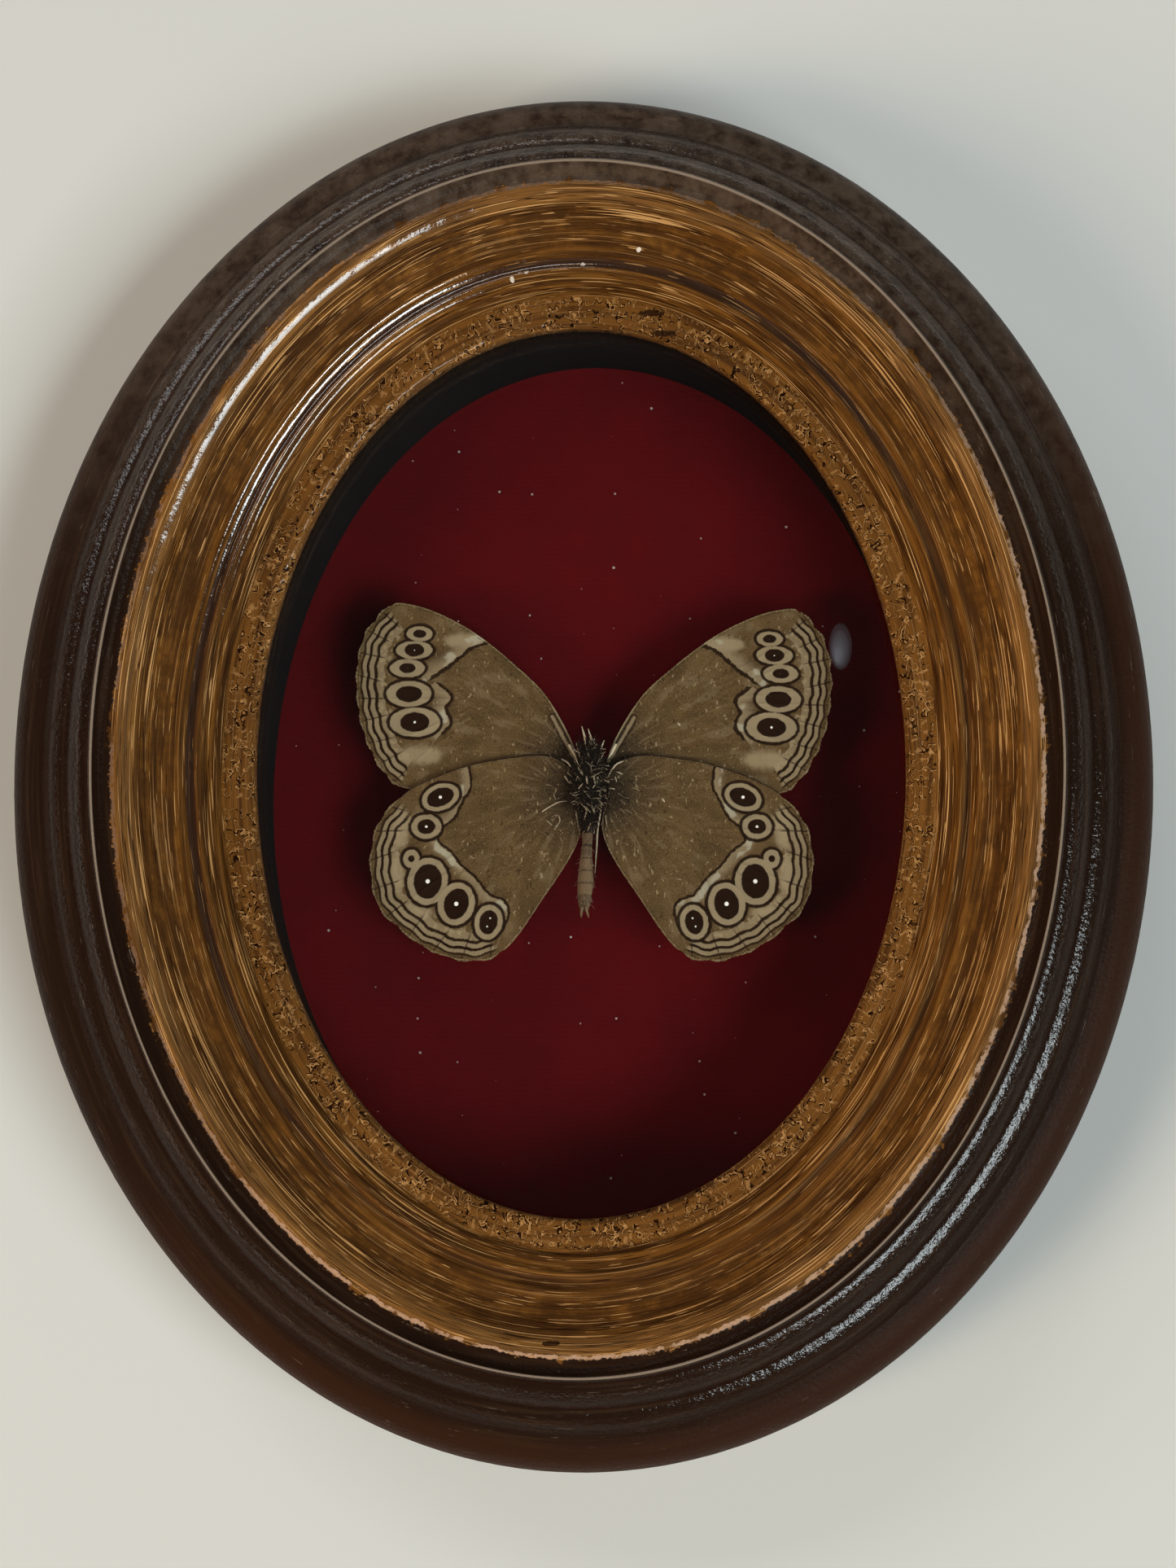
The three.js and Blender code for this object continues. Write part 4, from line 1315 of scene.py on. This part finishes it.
def egg(x, z, height, halves, sides=24):
    """A blob with half sizes across, up and front to back."""
    turn = np.linspace(-0.97, 0.97, 25) * math.pi / 2
    points, faces = tube([[0, 0, math.sin(t)] for t in turn], np.cos(turn), sides)
    points = points * np.array([halves[0], halves[2], halves[1]]) + [x, -height, z]
    return points, faces


def abdomen_line(share):
    return ABDOMEN_TOP + share[:, None] * np.array([math.sin(ABDOMEN_SLANT), -math.cos(ABDOMEN_SLANT)])


length = np.linspace(0, 11.9, 120)
rings_of_abdomen = 1 + 0.07 * np.abs(np.sin(length / SEGMENT * math.pi)) ** 0.5
radius = np.interp(length, *np.array(ABDOMEN).T) * rings_of_abdomen
flat = abdomen_line(length)
abdomen = tube(np.column_stack([flat[:, 0], np.full(120, -BODY_HEIGHT), flat[:, 1]]), radius, 20)
core_points, core_faces = joined([
    egg(THORAX["x"], THORAX["z"], BODY_HEIGHT, THORAX["halves"]), egg(-0.2, 3.5, 11.1, (0.95, 0.95, 1.0)),
    egg(-0.85, 3.7, 11.3, (0.5, 0.55, 0.5)), egg(0.5, 3.7, 11.3, (0.5, 0.55, 0.5)),
    egg(-0.75, 1.9, 11.8, (0.6, 0.7, 0.5)), egg(0.35, 1.8, 11.8, (0.6, 0.7, 0.5)),
    egg(-0.6, -1.9, 11.6, (0.7, 0.8, 0.6)), egg(0.3, -1.9, 11.6, (0.6, 0.8, 0.6)), abdomen,
])
core_points = core_points + [BUTTERFLY[0], 0, BUTTERFLY[1]]


def remeshed(points, faces, size):
    """The shells' union as one skin, made in millimetres."""
    mesh = bpy.data.meshes.new("union")
    mesh.from_pydata(points.tolist(), [], faces)
    made = bpy.data.objects.new("union", mesh)
    bpy.context.scene.collection.objects.link(made)
    modifier = made.modifiers.new("skin", "REMESH")
    modifier.mode = "VOXEL"
    modifier.voxel_size = size
    whole = bpy.data.meshes.new_from_object(made.evaluated_get(bpy.context.evaluated_depsgraph_get()))
    bpy.data.objects.remove(made)
    return (np.array([v.co[:] for v in whole.vertices]), [tuple(p.vertices) for p in whole.polygons])


core_points, core_faces = remeshed(core_points, core_faces, 0.09)
print(f"body skin of {len(core_points)} points")

# %% [markdown]
# ## Body finish
# One material serves the skin and all hairs. A stored value from 0 to 1 tells how pale each
# part is: the thorax is nearly black, the abdomen brown, the scales and longest hairs pale.

# %% Body material
BODY_BLACK = colour(20, 14, 9)
BODY_BROWN = colour(89, 69, 49)
BODY_PALE = colour(168, 149, 123)


def body_hairs():
    made, tree, skin = new_material("body_hairs", Roughness=0.8, Specular_IOR_Level=0.08)
    place = place_mm(tree)
    pale = stored(tree, "pale")
    fine = noise(tree, stretch(tree, place, (5.0, 3.0, 2.5)), 1.0, 3.0, 0.6)
    pale = calc(tree, "ADD", pale, times(tree, calc(tree, "SUBTRACT", fine, 0.5), 0.5))
    shade = blend(tree, rise(tree, pale, 0.0, 0.5), BODY_BLACK, BODY_BROWN)
    shade = blend(tree, rise(tree, pale, 0.5, 1.0), shade, BODY_PALE)
    tree.links.new(shade, skin.inputs["Base Color"])
    relief(tree, skin, times(tree, fine, 0.08))
    return made


hairs_finish = body_hairs()


def pale_piece(name, points, faces, pale):
    made = make_piece(name, points, faces, hairs_finish)
    if volume_mm3(made) < 0:
        made.data.flip_normals()
    layer = made.data.attributes.new("pale", "FLOAT", "POINT")
    layer.data.foreach_set("value", np.broadcast_to(pale, len(points)).astype(np.float32))
    return made


down = (BUTTERFLY[1] + ABDOMEN_TOP[1] - core_points[:, 2]) / math.cos(ABDOMEN_SLANT)
on_joint = np.abs(np.sin(down / SEGMENT * math.pi)) < 0.25
core_pale = np.where(down > 3.0, np.where(on_joint, 0.25, 0.5), 0.04)
core_pale = np.where((down > 3.0) & (down < 5.6), core_pale * 0.6, core_pale)
core_pale = np.where(down > 10.2, 0.3, core_pale)
core = pale_piece("body_core", core_points, core_faces, core_pale)

# %% [markdown]
# ## Palps, legs and loose tufts
# Two palps stand out from the head, one antenna is broken to a stub, and the legs are folded
# along the body. Pale tufts lie where the photo shows them. Each one is a tapered tube along
# a short line laid on whatever lies below it: thorax, abdomen or wing.

# %% Stalks laid on the body: pale, radius, points as [right, up], lift at the start and end
STALKS = [
    (1.0, 0.15, [[-0.54, 3.6], [-0.75, 5.2], [-1.16, 6.8]], (0.6, 0.5)),
    (1.0, 0.15, [[0.3, 3.4], [0.0, 5.0], [-0.42, 6.5]], (0.7, 0.5)),
    (0.95, 0.2, [[-2.65, 4.7], [-2.2, 4.0], [-1.85, 3.2]], (0.1, 0.2)),
    (0.95, 0.2, [[2.75, 4.8], [2.35, 4.0], [1.95, 3.2]], (0.1, 0.2)),
    (0.85, 0.11, [[0.4, 2.9], [0.95, 4.0], [1.44, 5.2]], (0.3, 0.4)),
    (0.8, 0.16, [[-0.5, 2.8], [-0.85, 3.5], [-0.9, 4.2]], (0.2, 0.2)),
    (0.75, 0.12, [[1.06, -0.8], [1.06, -2.8], [0.7, -5.2], [0.57, -7.7], [0.4, -10.2]], (0.3, 0.1)),
    (0.75, 0.11, [[-1.5, -2.0], [-0.54, -3.0], [-0.8, -4.2]], (0.3, 0.1)),
    (0.7, 0.11, [[-1.8, -3.0], [-1.6, -4.2], [-1.4, -5.4]], (0.2, 0.1)),
    (0.6, 0.1, [[-0.05, -4.6], [-0.4, -5.5]], (0.2, 0.1)),
    (0.6, 0.1, [[1.56, -3.5], [1.8, -5.0]], (0.1, 0.05)),
    (0.5, 0.17, [[-0.95, -14.1], [-1.12, -14.8], [-1.15, -15.3]], (0.0, 0.0)),
    (0.5, 0.17, [[-0.6, -14.1], [-0.42, -14.8], [-0.3, -15.3]], (0.0, 0.0)),
    (0.85, 0.1, [[-1.16, 1.5], [-0.9, 0.9]], (0.15, 0.15)),
    (0.9, 0.11, [[-0.5, 0.7], [-0.35, -0.3]], (0.15, 0.2)),
    (0.85, 0.1, [[-1.4, -0.7], [-0.9, -0.1]], (0.15, 0.2)),
    (0.95, 0.11, [[0.3, 0.8], [0.5, -0.2], [0.2, -0.7]], (0.15, 0.2)),
    (0.8, 0.09, [[-0.05, 2.0], [0.1, 1.1]], (0.15, 0.15)),
    (0.85, 0.1, [[-3.1, 1.0], [-2.4, 0.0]], (0.1, 0.1)),
    (0.85, 0.1, [[-3.5, 3.05], [-2.7, 2.5], [-2.1, 1.5]], (0.05, 0.15)),
    (0.85, 0.1, [[3.9, 2.9], [2.67, 2.2], [1.7, 0.6]], (0.05, 0.15)),
    (0.8, 0.1, [[2.9, 1.5], [3.6, 1.2]], (0.1, 0.05)),
    (0.8, 0.09, [[2.7, 0.9], [2.9, 0.3]], (0.1, 0.1)),
    (0.8, 0.1, [[1.9, -0.4], [2.7, -0.5]], (0.1, 0.1)),
    (0.75, 0.09, [[-5.7, -3.1], [-4.75, -2.5], [-3.76, -2.0], [-2.8, -1.9]], (0.02, 0.05)),
    (0.7, 0.08, [[-4.3, -5.2], [-3.65, -4.2], [-3.9, -3.5], [-4.6, -3.7]], (0.02, 0.02)),
    (0.7, 0.08, [[-4.4, -1.0], [-4.1, -1.8]], (0.02, 0.05)),
    (0.7, 0.08, [[-5.2, -4.1], [-4.5, -4.7]], (0.02, 0.02)),
    (0.8, 0.12, [[8.1, -1.6], [8.4, -2.0]], (0.02, 0.02)),
    (0.8, 0.12, [[9.85, 7.3], [10.2, 6.9]], (0.02, 0.02)),
]


def top_at(x, z):
    """Height above the wall of the highest thing at a place on the butterfly."""
    across = ((x - THORAX["x"]) / THORAX["halves"][0]) ** 2 + ((z - THORAX["z"]) / THORAX["halves"][1]) ** 2
    thorax = BODY_HEIGHT + THORAX["halves"][2] * math.sqrt(max(1 - across, 0)) if across < 1 else 0
    beside = abs(x + 0.3 + 0.045 * (-2.7 - z))
    belly = BODY_HEIGHT + 0.75 if -14.8 < z < -2.5 and beside < 0.7 else 0
    wing = 10.5 if z < 2.8 else 9.9
    return max(thorax, belly, wing)


shells, pales = [], []
for pale, radius, line, (lift_start, lift_end) in STALKS:
    fine = smooth_line(line, 0.22)
    share = np.linspace(0, 1, len(fine))
    lift = lift_start + (lift_end - lift_start) * share
    height = np.array([top_at(x, z) for x, z in fine]) + lift
    height = np.convolve(np.pad(height, 2, "edge"), np.ones(5) / 5, "valid")
    spots = np.column_stack([fine[:, 0] + BUTTERFLY[0], -height, fine[:, 1] + BUTTERFLY[1]])
    shell = tube(spots, radius * np.clip(1.5 - np.abs(share - 0.35) * 1.9, 0.3, 1), 6)
    shells.append(shell)
    pales.append(np.full(len(shell[0]), pale))
stalks = pale_piece("stalks", *joined(shells), np.concatenate(pales))

# %% [markdown]
# ## Hairs as Geometry Nodes
# Hairs could be placed one by one, but they all follow one rule: they stand on a surface, flow
# away from a root place, lift along the surface's normal and stray a little. The tree strews
# points, turns one bent tapered hair along that direction on each, and stores how pale it is.

# %% The hairs' tree
def hair_tree():
    tree = bpy.data.node_groups.new("hairs", "GeometryNodeTree")
    tree.interface.new_socket("Hairs", in_out="OUTPUT", socket_type="NodeSocketGeometry")
    for label, kind, value in (
        ("Surface", "NodeSocketObject", None), ("Per mm2", "NodeSocketFloat", 5.0),
        ("Length mm", "NodeSocketFloat", 1.0), ("Radius mm", "NodeSocketFloat", 0.03),
        ("Root mm", "NodeSocketVector", None), ("Reach mm", "NodeSocketFloat", 5.0),
        ("Flow", "NodeSocketFloat", 0.5), ("Lift", "NodeSocketFloat", 0.3),
        ("Spread", "NodeSocketFloat", 0.5), ("Pale", "NodeSocketFloat", 0.5),
        ("Seed", "NodeSocketInt", 1), ("Finish", "NodeSocketMaterial", None),
    ):
        add_input(tree, label, kind, value)
    given = tree.nodes.new("NodeGroupInput").outputs
    skin = node(tree, "GeometryNodeObjectInfo", {"Object": given["Surface"]}).outputs["Geometry"]

    def scaled(vector, amount):
        return node(tree, "ShaderNodeVectorMath", {0: vector, "Scale": amount}, operation="SCALE").outputs[0]

    root = scaled(given["Root mm"], MM)
    spot = tree.nodes.new("GeometryNodeInputPosition").outputs[0]
    normal = tree.nodes.new("GeometryNodeInputNormal").outputs[0]
    apart = node(tree, "ShaderNodeVectorMath", {0: spot, 1: root}, operation="DISTANCE").outputs["Value"]
    close = calc(tree, "LESS_THAN", apart, calc(tree, "MULTIPLY", given["Reach mm"], MM))
    facing = calc(tree, "LESS_THAN", separate(tree, normal)[1], 0.3)
    density = times(tree, given["Per mm2"], 1e6, close, facing)
    strewn = node(tree, "GeometryNodeDistributePointsOnFaces",
                  {"Mesh": skin, "Density": density, "Seed": given["Seed"]})
    away = vector_calc(tree, "NORMALIZE", vector_calc(tree, "SUBTRACT", spot, root))
    stray = node(tree, "FunctionNodeRandomValue", {"Seed": given["Seed"]}, data_type="FLOAT_VECTOR")
    stray.inputs[0].default_value = (-1, -1, -1)
    stray.inputs[1].default_value = (1, 1, 1)
    lifted = scaled(strewn.outputs["Normal"], given["Lift"])
    way = vector_calc(tree, "ADD", scaled(away, given["Flow"]), lifted)
    way = vector_calc(tree, "ADD", way, scaled(stray.outputs[0], given["Spread"]))
    turn = node(tree, "FunctionNodeAlignRotationToVector", {"Vector": way}, axis="Z").outputs[0]

    line = node(tree, "GeometryNodeCurvePrimitiveLine", {"Start": (0, 0, -0.08), "End": (0, 0, 1)}).outputs[0]
    line = node(tree, "GeometryNodeResampleCurve", {"Curve": line, "Count": 5}).outputs[0]
    share = tree.nodes.new("GeometryNodeSplineParameter").outputs["Factor"]
    bend = combine(tree, calc(tree, "MULTIPLY", calc(tree, "MULTIPLY", share, share), 0.3), 0.0, 0.0)
    line = node(tree, "GeometryNodeSetPosition", {"Geometry": line, "Offset": bend}).outputs[0]
    taper = calc(tree, "SUBTRACT", 1.0, calc(tree, "MULTIPLY", share, 0.75))
    line = node(tree, "GeometryNodeSetCurveRadius", {"Curve": line, "Radius": taper}).outputs[0]
    thick = calc(tree, "DIVIDE", given["Radius mm"], given["Length mm"])
    ring = node(tree, "GeometryNodeCurvePrimitiveCircle", {"Resolution": 4, "Radius": thick}).outputs["Curve"]
    sockets = {"Curve": line, "Profile Curve": ring, "Fill Caps": True}
    hair = node(tree, "GeometryNodeCurveToMesh", sockets).outputs[0]
    size = node(tree, "FunctionNodeRandomValue", {"Seed": given["Seed"]}, data_type="FLOAT")
    size.inputs[2].default_value = 0.55
    size.inputs[3].default_value = 1.15
    size = times(tree, size.outputs[1], given["Length mm"], MM)
    sockets = {"Points": strewn.outputs["Points"], "Instance": hair, "Rotation": turn,
               "Scale": combine(tree, size, size, size)}
    hairs = node(tree, "GeometryNodeInstanceOnPoints", sockets).outputs[0]
    hairs = node(tree, "GeometryNodeRealizeInstances", {"Geometry": hairs}).outputs[0]
    sockets = {"Geometry": hairs, "Name": "pale", "Value": given["Pale"]}
    hairs = node(tree, "GeometryNodeStoreNamedAttribute", sockets, data_type="FLOAT").outputs[0]
    hairs = node(tree, "GeometryNodeSetShadeSmooth", {"Geometry": hairs}).outputs[0]
    hairs = node(tree, "GeometryNodeSetMaterial", {"Geometry": hairs, "Material": given["Finish"]}).outputs[0]
    output = tree.nodes.new("NodeGroupOutput")
    tree.links.new(hairs, output.inputs[0])
    return tree

# %% [markdown]
# ## Hairs on the body and the wing roots
# The thorax has a dense dark coat with some pale hairs, the abdomen a thin one, and the wings
# carry some hairs near their roots. All are joined with the skin and the stalks, because the
# body is one piece.

# %% Grow the hairs and join the body
hair_rule = hair_tree()
THORAX_ROOT = (BUTTERFLY[0] - 0.2, -9.5, BUTTERFLY[1] + 0.2)
HAIRS = [
    # Surface, per mm2, length, radius, reach, flow, lift, spread, pale, seed
    (core, 16.0, 0.75, 0.03, 5.6, 0.5, 0.5, 0.7, 0.12, 1),
    (core, 12.0, 1.25, 0.04, 5.0, 1.0, 0.25, 0.5, 0.06, 12),
    (core, 2.4, 1.1, 0.045, 5.0, 0.6, 0.3, 0.8, 0.8, 2),
    (core, 2.0, 0.6, 0.03, 17.0, 0.8, 0.3, 0.6, 0.6, 3),
]
for k, wing in enumerate(wings[2:]):
    HAIRS.append((wing, 0.5, 0.75, 0.045, 6.2, 1.0, 0.12, 0.5, 0.6, 4 + k))
    HAIRS.append((wing, 3.0, 0.9, 0.035, 4.6, 1.0, 0.2, 0.5, 0.1, 6 + k))
for k, wing in enumerate(wings[:2]):
    HAIRS.append((wing, 2.0, 0.9, 0.035, 5.2, 1.0, 0.2, 0.5, 0.1, 8 + k))
grown = []
for k, (surface, count, long, thick, reach, flow, lift, spread, pale, seed) in enumerate(HAIRS):
    grown.append(grow(f"hairs_{k}", hair_rule, {
        "Surface": surface, "Per mm2": count, "Length mm": long, "Radius mm": thick, "Root mm": THORAX_ROOT,
        "Reach mm": reach, "Flow": flow, "Lift": lift, "Spread": spread, "Pale": pale, "Seed": seed,
        "Finish": hairs_finish,
    }))
    print(f"hairs {k}: {len(grown[-1].data.vertices) // 20} hairs")
parts = [core, stalks, *grown]
with bpy.context.temp_override(active_object=core, selected_editable_objects=parts):
    bpy.ops.object.join()
core.name = "hairy_body"
finish_piece(core, ["butterfly_body"])

# %% [markdown]
# ## Back of the frame
# The photo doesn't show the back, so it is kept to what such a frame needs: a brown board,
# flat steel points that hold it, and a stamped brass hanger with two nails. They are the solids
# from the frame, whose shapes are simple in the real pieces too, and get worn finishes here.

# %% Board, steel and brass
BOARD_DARK = colour(136, 108, 78)
BOARD_LIGHT = colour(160, 132, 98)
BOARD_CLOUD = colour(120, 92, 64)
BOARD_FLECK = colour(84, 60, 38)
STEEL_COLOURS = (colour(172, 170, 168), colour(132, 128, 124), colour(104, 74, 52))
BRASS_COLOURS = (colour(196, 160, 96), colour(150, 116, 64), colour(84, 58, 34))


def brown_board():
    made, tree, skin = new_material("brown_board", Roughness=0.9, Specular_IOR_Level=0.2)
    place = place_mm(tree)
    fibres = noise(tree, stretch(tree, place, (0.5, 2.0, 2.2)), 1.0, 4.0, 0.7)
    flecks = noise(tree, stretch(tree, place, (1.2, 1.0, 4.0)), 1.4, 1.0)
    cloud = noise(tree, place, 0.05, 3.0)
    shade = blend(tree, rise(tree, fibres, 0.3, 0.7), BOARD_DARK, BOARD_LIGHT)
    shade = blend(tree, times(tree, rise(tree, cloud, 0.45, 0.75), 0.5), shade, BOARD_CLOUD)
    shade = blend(tree, times(tree, rise(tree, flecks, 0.68, 0.74), 0.6), shade, BOARD_FLECK)
    tree.links.new(shade, skin.inputs["Base Color"])
    relief(tree, skin, times(tree, fibres, 0.06))
    return made


def worn_metal(name, clean, dull, stain, roughness):
    made, tree, skin = new_material(name, Metallic=1.0)
    place = place_mm(tree)
    scratches = noise(tree, stretch(tree, place, (0.35, 3.0, 4.0)), 1.0, 3.0, 0.6)
    cloud = noise(tree, place, 0.5, 4.0, 0.65)
    spots = noise(tree, place, 2.4, 2.0, 0.6)
    shade = blend(tree, rise(tree, cloud, 0.35, 0.65), clean, dull)
    stained = times(tree, rise(tree, spots, 0.6, 0.7), 0.7)
    shade = blend(tree, stained, shade, stain)
    tree.links.new(shade, skin.inputs["Base Color"])
    rough = calc(tree, "ADD", roughness, times(tree, calc(tree, "SUBTRACT", scratches, 0.4), 0.35))
    tree.links.new(calc(tree, "ADD", rough, times(tree, stained, 0.3)), skin.inputs["Roughness"])
    relief(tree, skin, calc(tree, "ADD", times(tree, scratches, 0.02), times(tree, stained, 0.02)))
    return made


steel = worn_metal("thin_steel", *STEEL_COLOURS, 0.32)
brass = worn_metal("brass_sheet", *BRASS_COLOURS, 0.3)
board_finish = brown_board()
for name, finish in [("backing_board", board_finish), ("hanger", brass), ("mounting_pin", steel),
                     ("hanger_nail_1", steel), ("hanger_nail_2", steel),
                     *[(f"retaining_point_{k}", steel) for k in range(1, 7)]]:
    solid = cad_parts[name]
    solid.data.materials.clear()
    solid.data.materials.append(finish)

# %% [markdown]
# ## Glass
# The pane is plain float glass. It is the solid from the frame, because its shape is already
# right. Its shadow is left out, because a render without caustics would make it too dark.

# %% Clear glass
glass_finish, _, glass_skin = new_material(
    "clear_glass", Roughness=0.0, IOR=1.5, Transmission_Weight=1.0)
glass_skin.inputs["Base Color"].default_value = (0.97, 0.985, 0.98, 1)
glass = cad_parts["glass"]
glass.data.materials.clear()
glass.data.materials.append(glass_finish)
glass.visible_shadow = False

# %% [markdown]
# ## Light
# The room's light comes from a large cool window at the lower right, a warm glow at the left
# and some sky from the upper left. Each is one soft area light, placed by the shadows and the
# highlights in the photo. The window's long side follows the ring, so that its reflection is a
# long thin line on the gilding. The last light stands behind the wall, for views of the back.

# %% Lights
def area_light(name, place, target, size, power, tint=(1, 1, 1)):
    data = bpy.data.lights.new(name, "AREA")
    data.shape = "RECTANGLE"
    data.size, data.size_y = size
    data.energy = power
    data.color = tint
    made = bpy.data.objects.new(name, data)
    made.location = place
    away = np.array(place) - np.array(target)
    level = math.hypot(away[0], away[1])
    made.rotation_euler = (math.atan2(level, away[2]), 0, math.atan2(away[0], -away[1]))
    made.visible_camera = False
    bpy.context.scene.collection.objects.link(made)
    return made


HEART = (0.0, 0.0, CENTRE_Z * MM)
window = area_light("window", (1.15, -1.30, -0.88), HEART, (1.3, 0.6), 33.8, (0.85, 0.94, 0.96))
window.rotation_euler.rotate_axis("Z", 1.1)
glow = area_light("left glow", (-1.1, -0.75, -0.60), HEART, (0.6, 0.4), 14.5, (1.0, 0.84, 0.65))
glow.visible_glossy = False
glow.visible_transmission = False
sky = area_light("sky", (-0.55, -0.75, 0.80), HEART, (1.1, 0.3), 4.8, (0.97, 0.98, 1.0))
sky.rotation_euler.rotate_axis("Z", 0.6)
# The photo has a faint bluish patch on the glass. Small lights in a row make it, each smaller
LAMP_PLACE = (0.068, -0.6, 0.091)
LAMP_TARGET = (0.0, -0.016, -0.03)
LAMP_SIZE = (0.006, 0.012)
LAMP_POWER = 0.00004
LAMP_APART = 0.004
for step, share in enumerate((1.5, 1.2, 0.95, 0.7, 0.5, 0.3)):
    place = (LAMP_PLACE[0], LAMP_PLACE[1] - LAMP_APART * step, LAMP_PLACE[2])
    size = (LAMP_SIZE[0] * share, LAMP_SIZE[1] * share)
    lamp = area_light(f"lamp glare {step}", place, LAMP_TARGET, size, LAMP_POWER * share**2, (0.8, 0.92, 1.0))
    lamp.data.shape = "ELLIPSE"
area_light("behind", (0.15, 0.5, 0.2), HEART, (0.6, 0.6), 5.0)

# %% [markdown]
# ## Wall and room
# The frame hangs on a plain off-white wall. The wall shows only from the front, so that the
# back of the frame can be looked at too, and the rest of the room is a dim even light.

# %% Wall and room
wall_finish, wall_tree, wall_skin = new_material("wall", Roughness=0.9)
wall_skin.inputs["Base Color"].default_value = (0.638, 0.633, 0.602, 1)
front_only = node(wall_tree, "ShaderNodeNewGeometry").outputs["Backfacing"]
clear = node(wall_tree, "ShaderNodeBsdfTransparent").outputs[0]
two_sides = node(wall_tree, "ShaderNodeMixShader", {0: front_only, 1: wall_skin.outputs[0], 2: clear})
wall_tree.links.new(two_sides.outputs[0], wall_tree.nodes["Material Output"].inputs["Surface"])
WALL_BEHIND = 0.4
WALL_SIDE = 2500
WALL_UP = 2000
corners = [[-WALL_SIDE, -WALL_UP], [WALL_SIDE, -WALL_UP], [WALL_SIDE, WALL_UP], [-WALL_SIDE, WALL_UP]]
corners = [[x, WALL_BEHIND, z] for x, z in corners]
wall = make_piece("wall", corners, [(0, 1, 2, 3)], wall_finish, smooth=False)
wall.visible_shadow = False
world = bpy.data.worlds.new("room")
world.use_nodes = True
bpy.context.scene.world = world
room = world.node_tree
seen = node(room, "ShaderNodeLightPath").outputs["Is Camera Ray"]
backdrop = node(room, "ShaderNodeBackground", {"Color": (0.62, 0.62, 0.60, 1), "Strength": 1.0}).outputs[0]
dim = room.nodes["Background"]
dim.inputs["Color"].default_value = (1.0, 0.95, 0.9, 1)
dim.inputs["Strength"].default_value = 0.025
both = node(room, "ShaderNodeMixShader", {0: seen, 1: dim.outputs[0], 2: backdrop})
room.links.new(both.outputs[0], room.nodes["World Output"].inputs["Surface"])
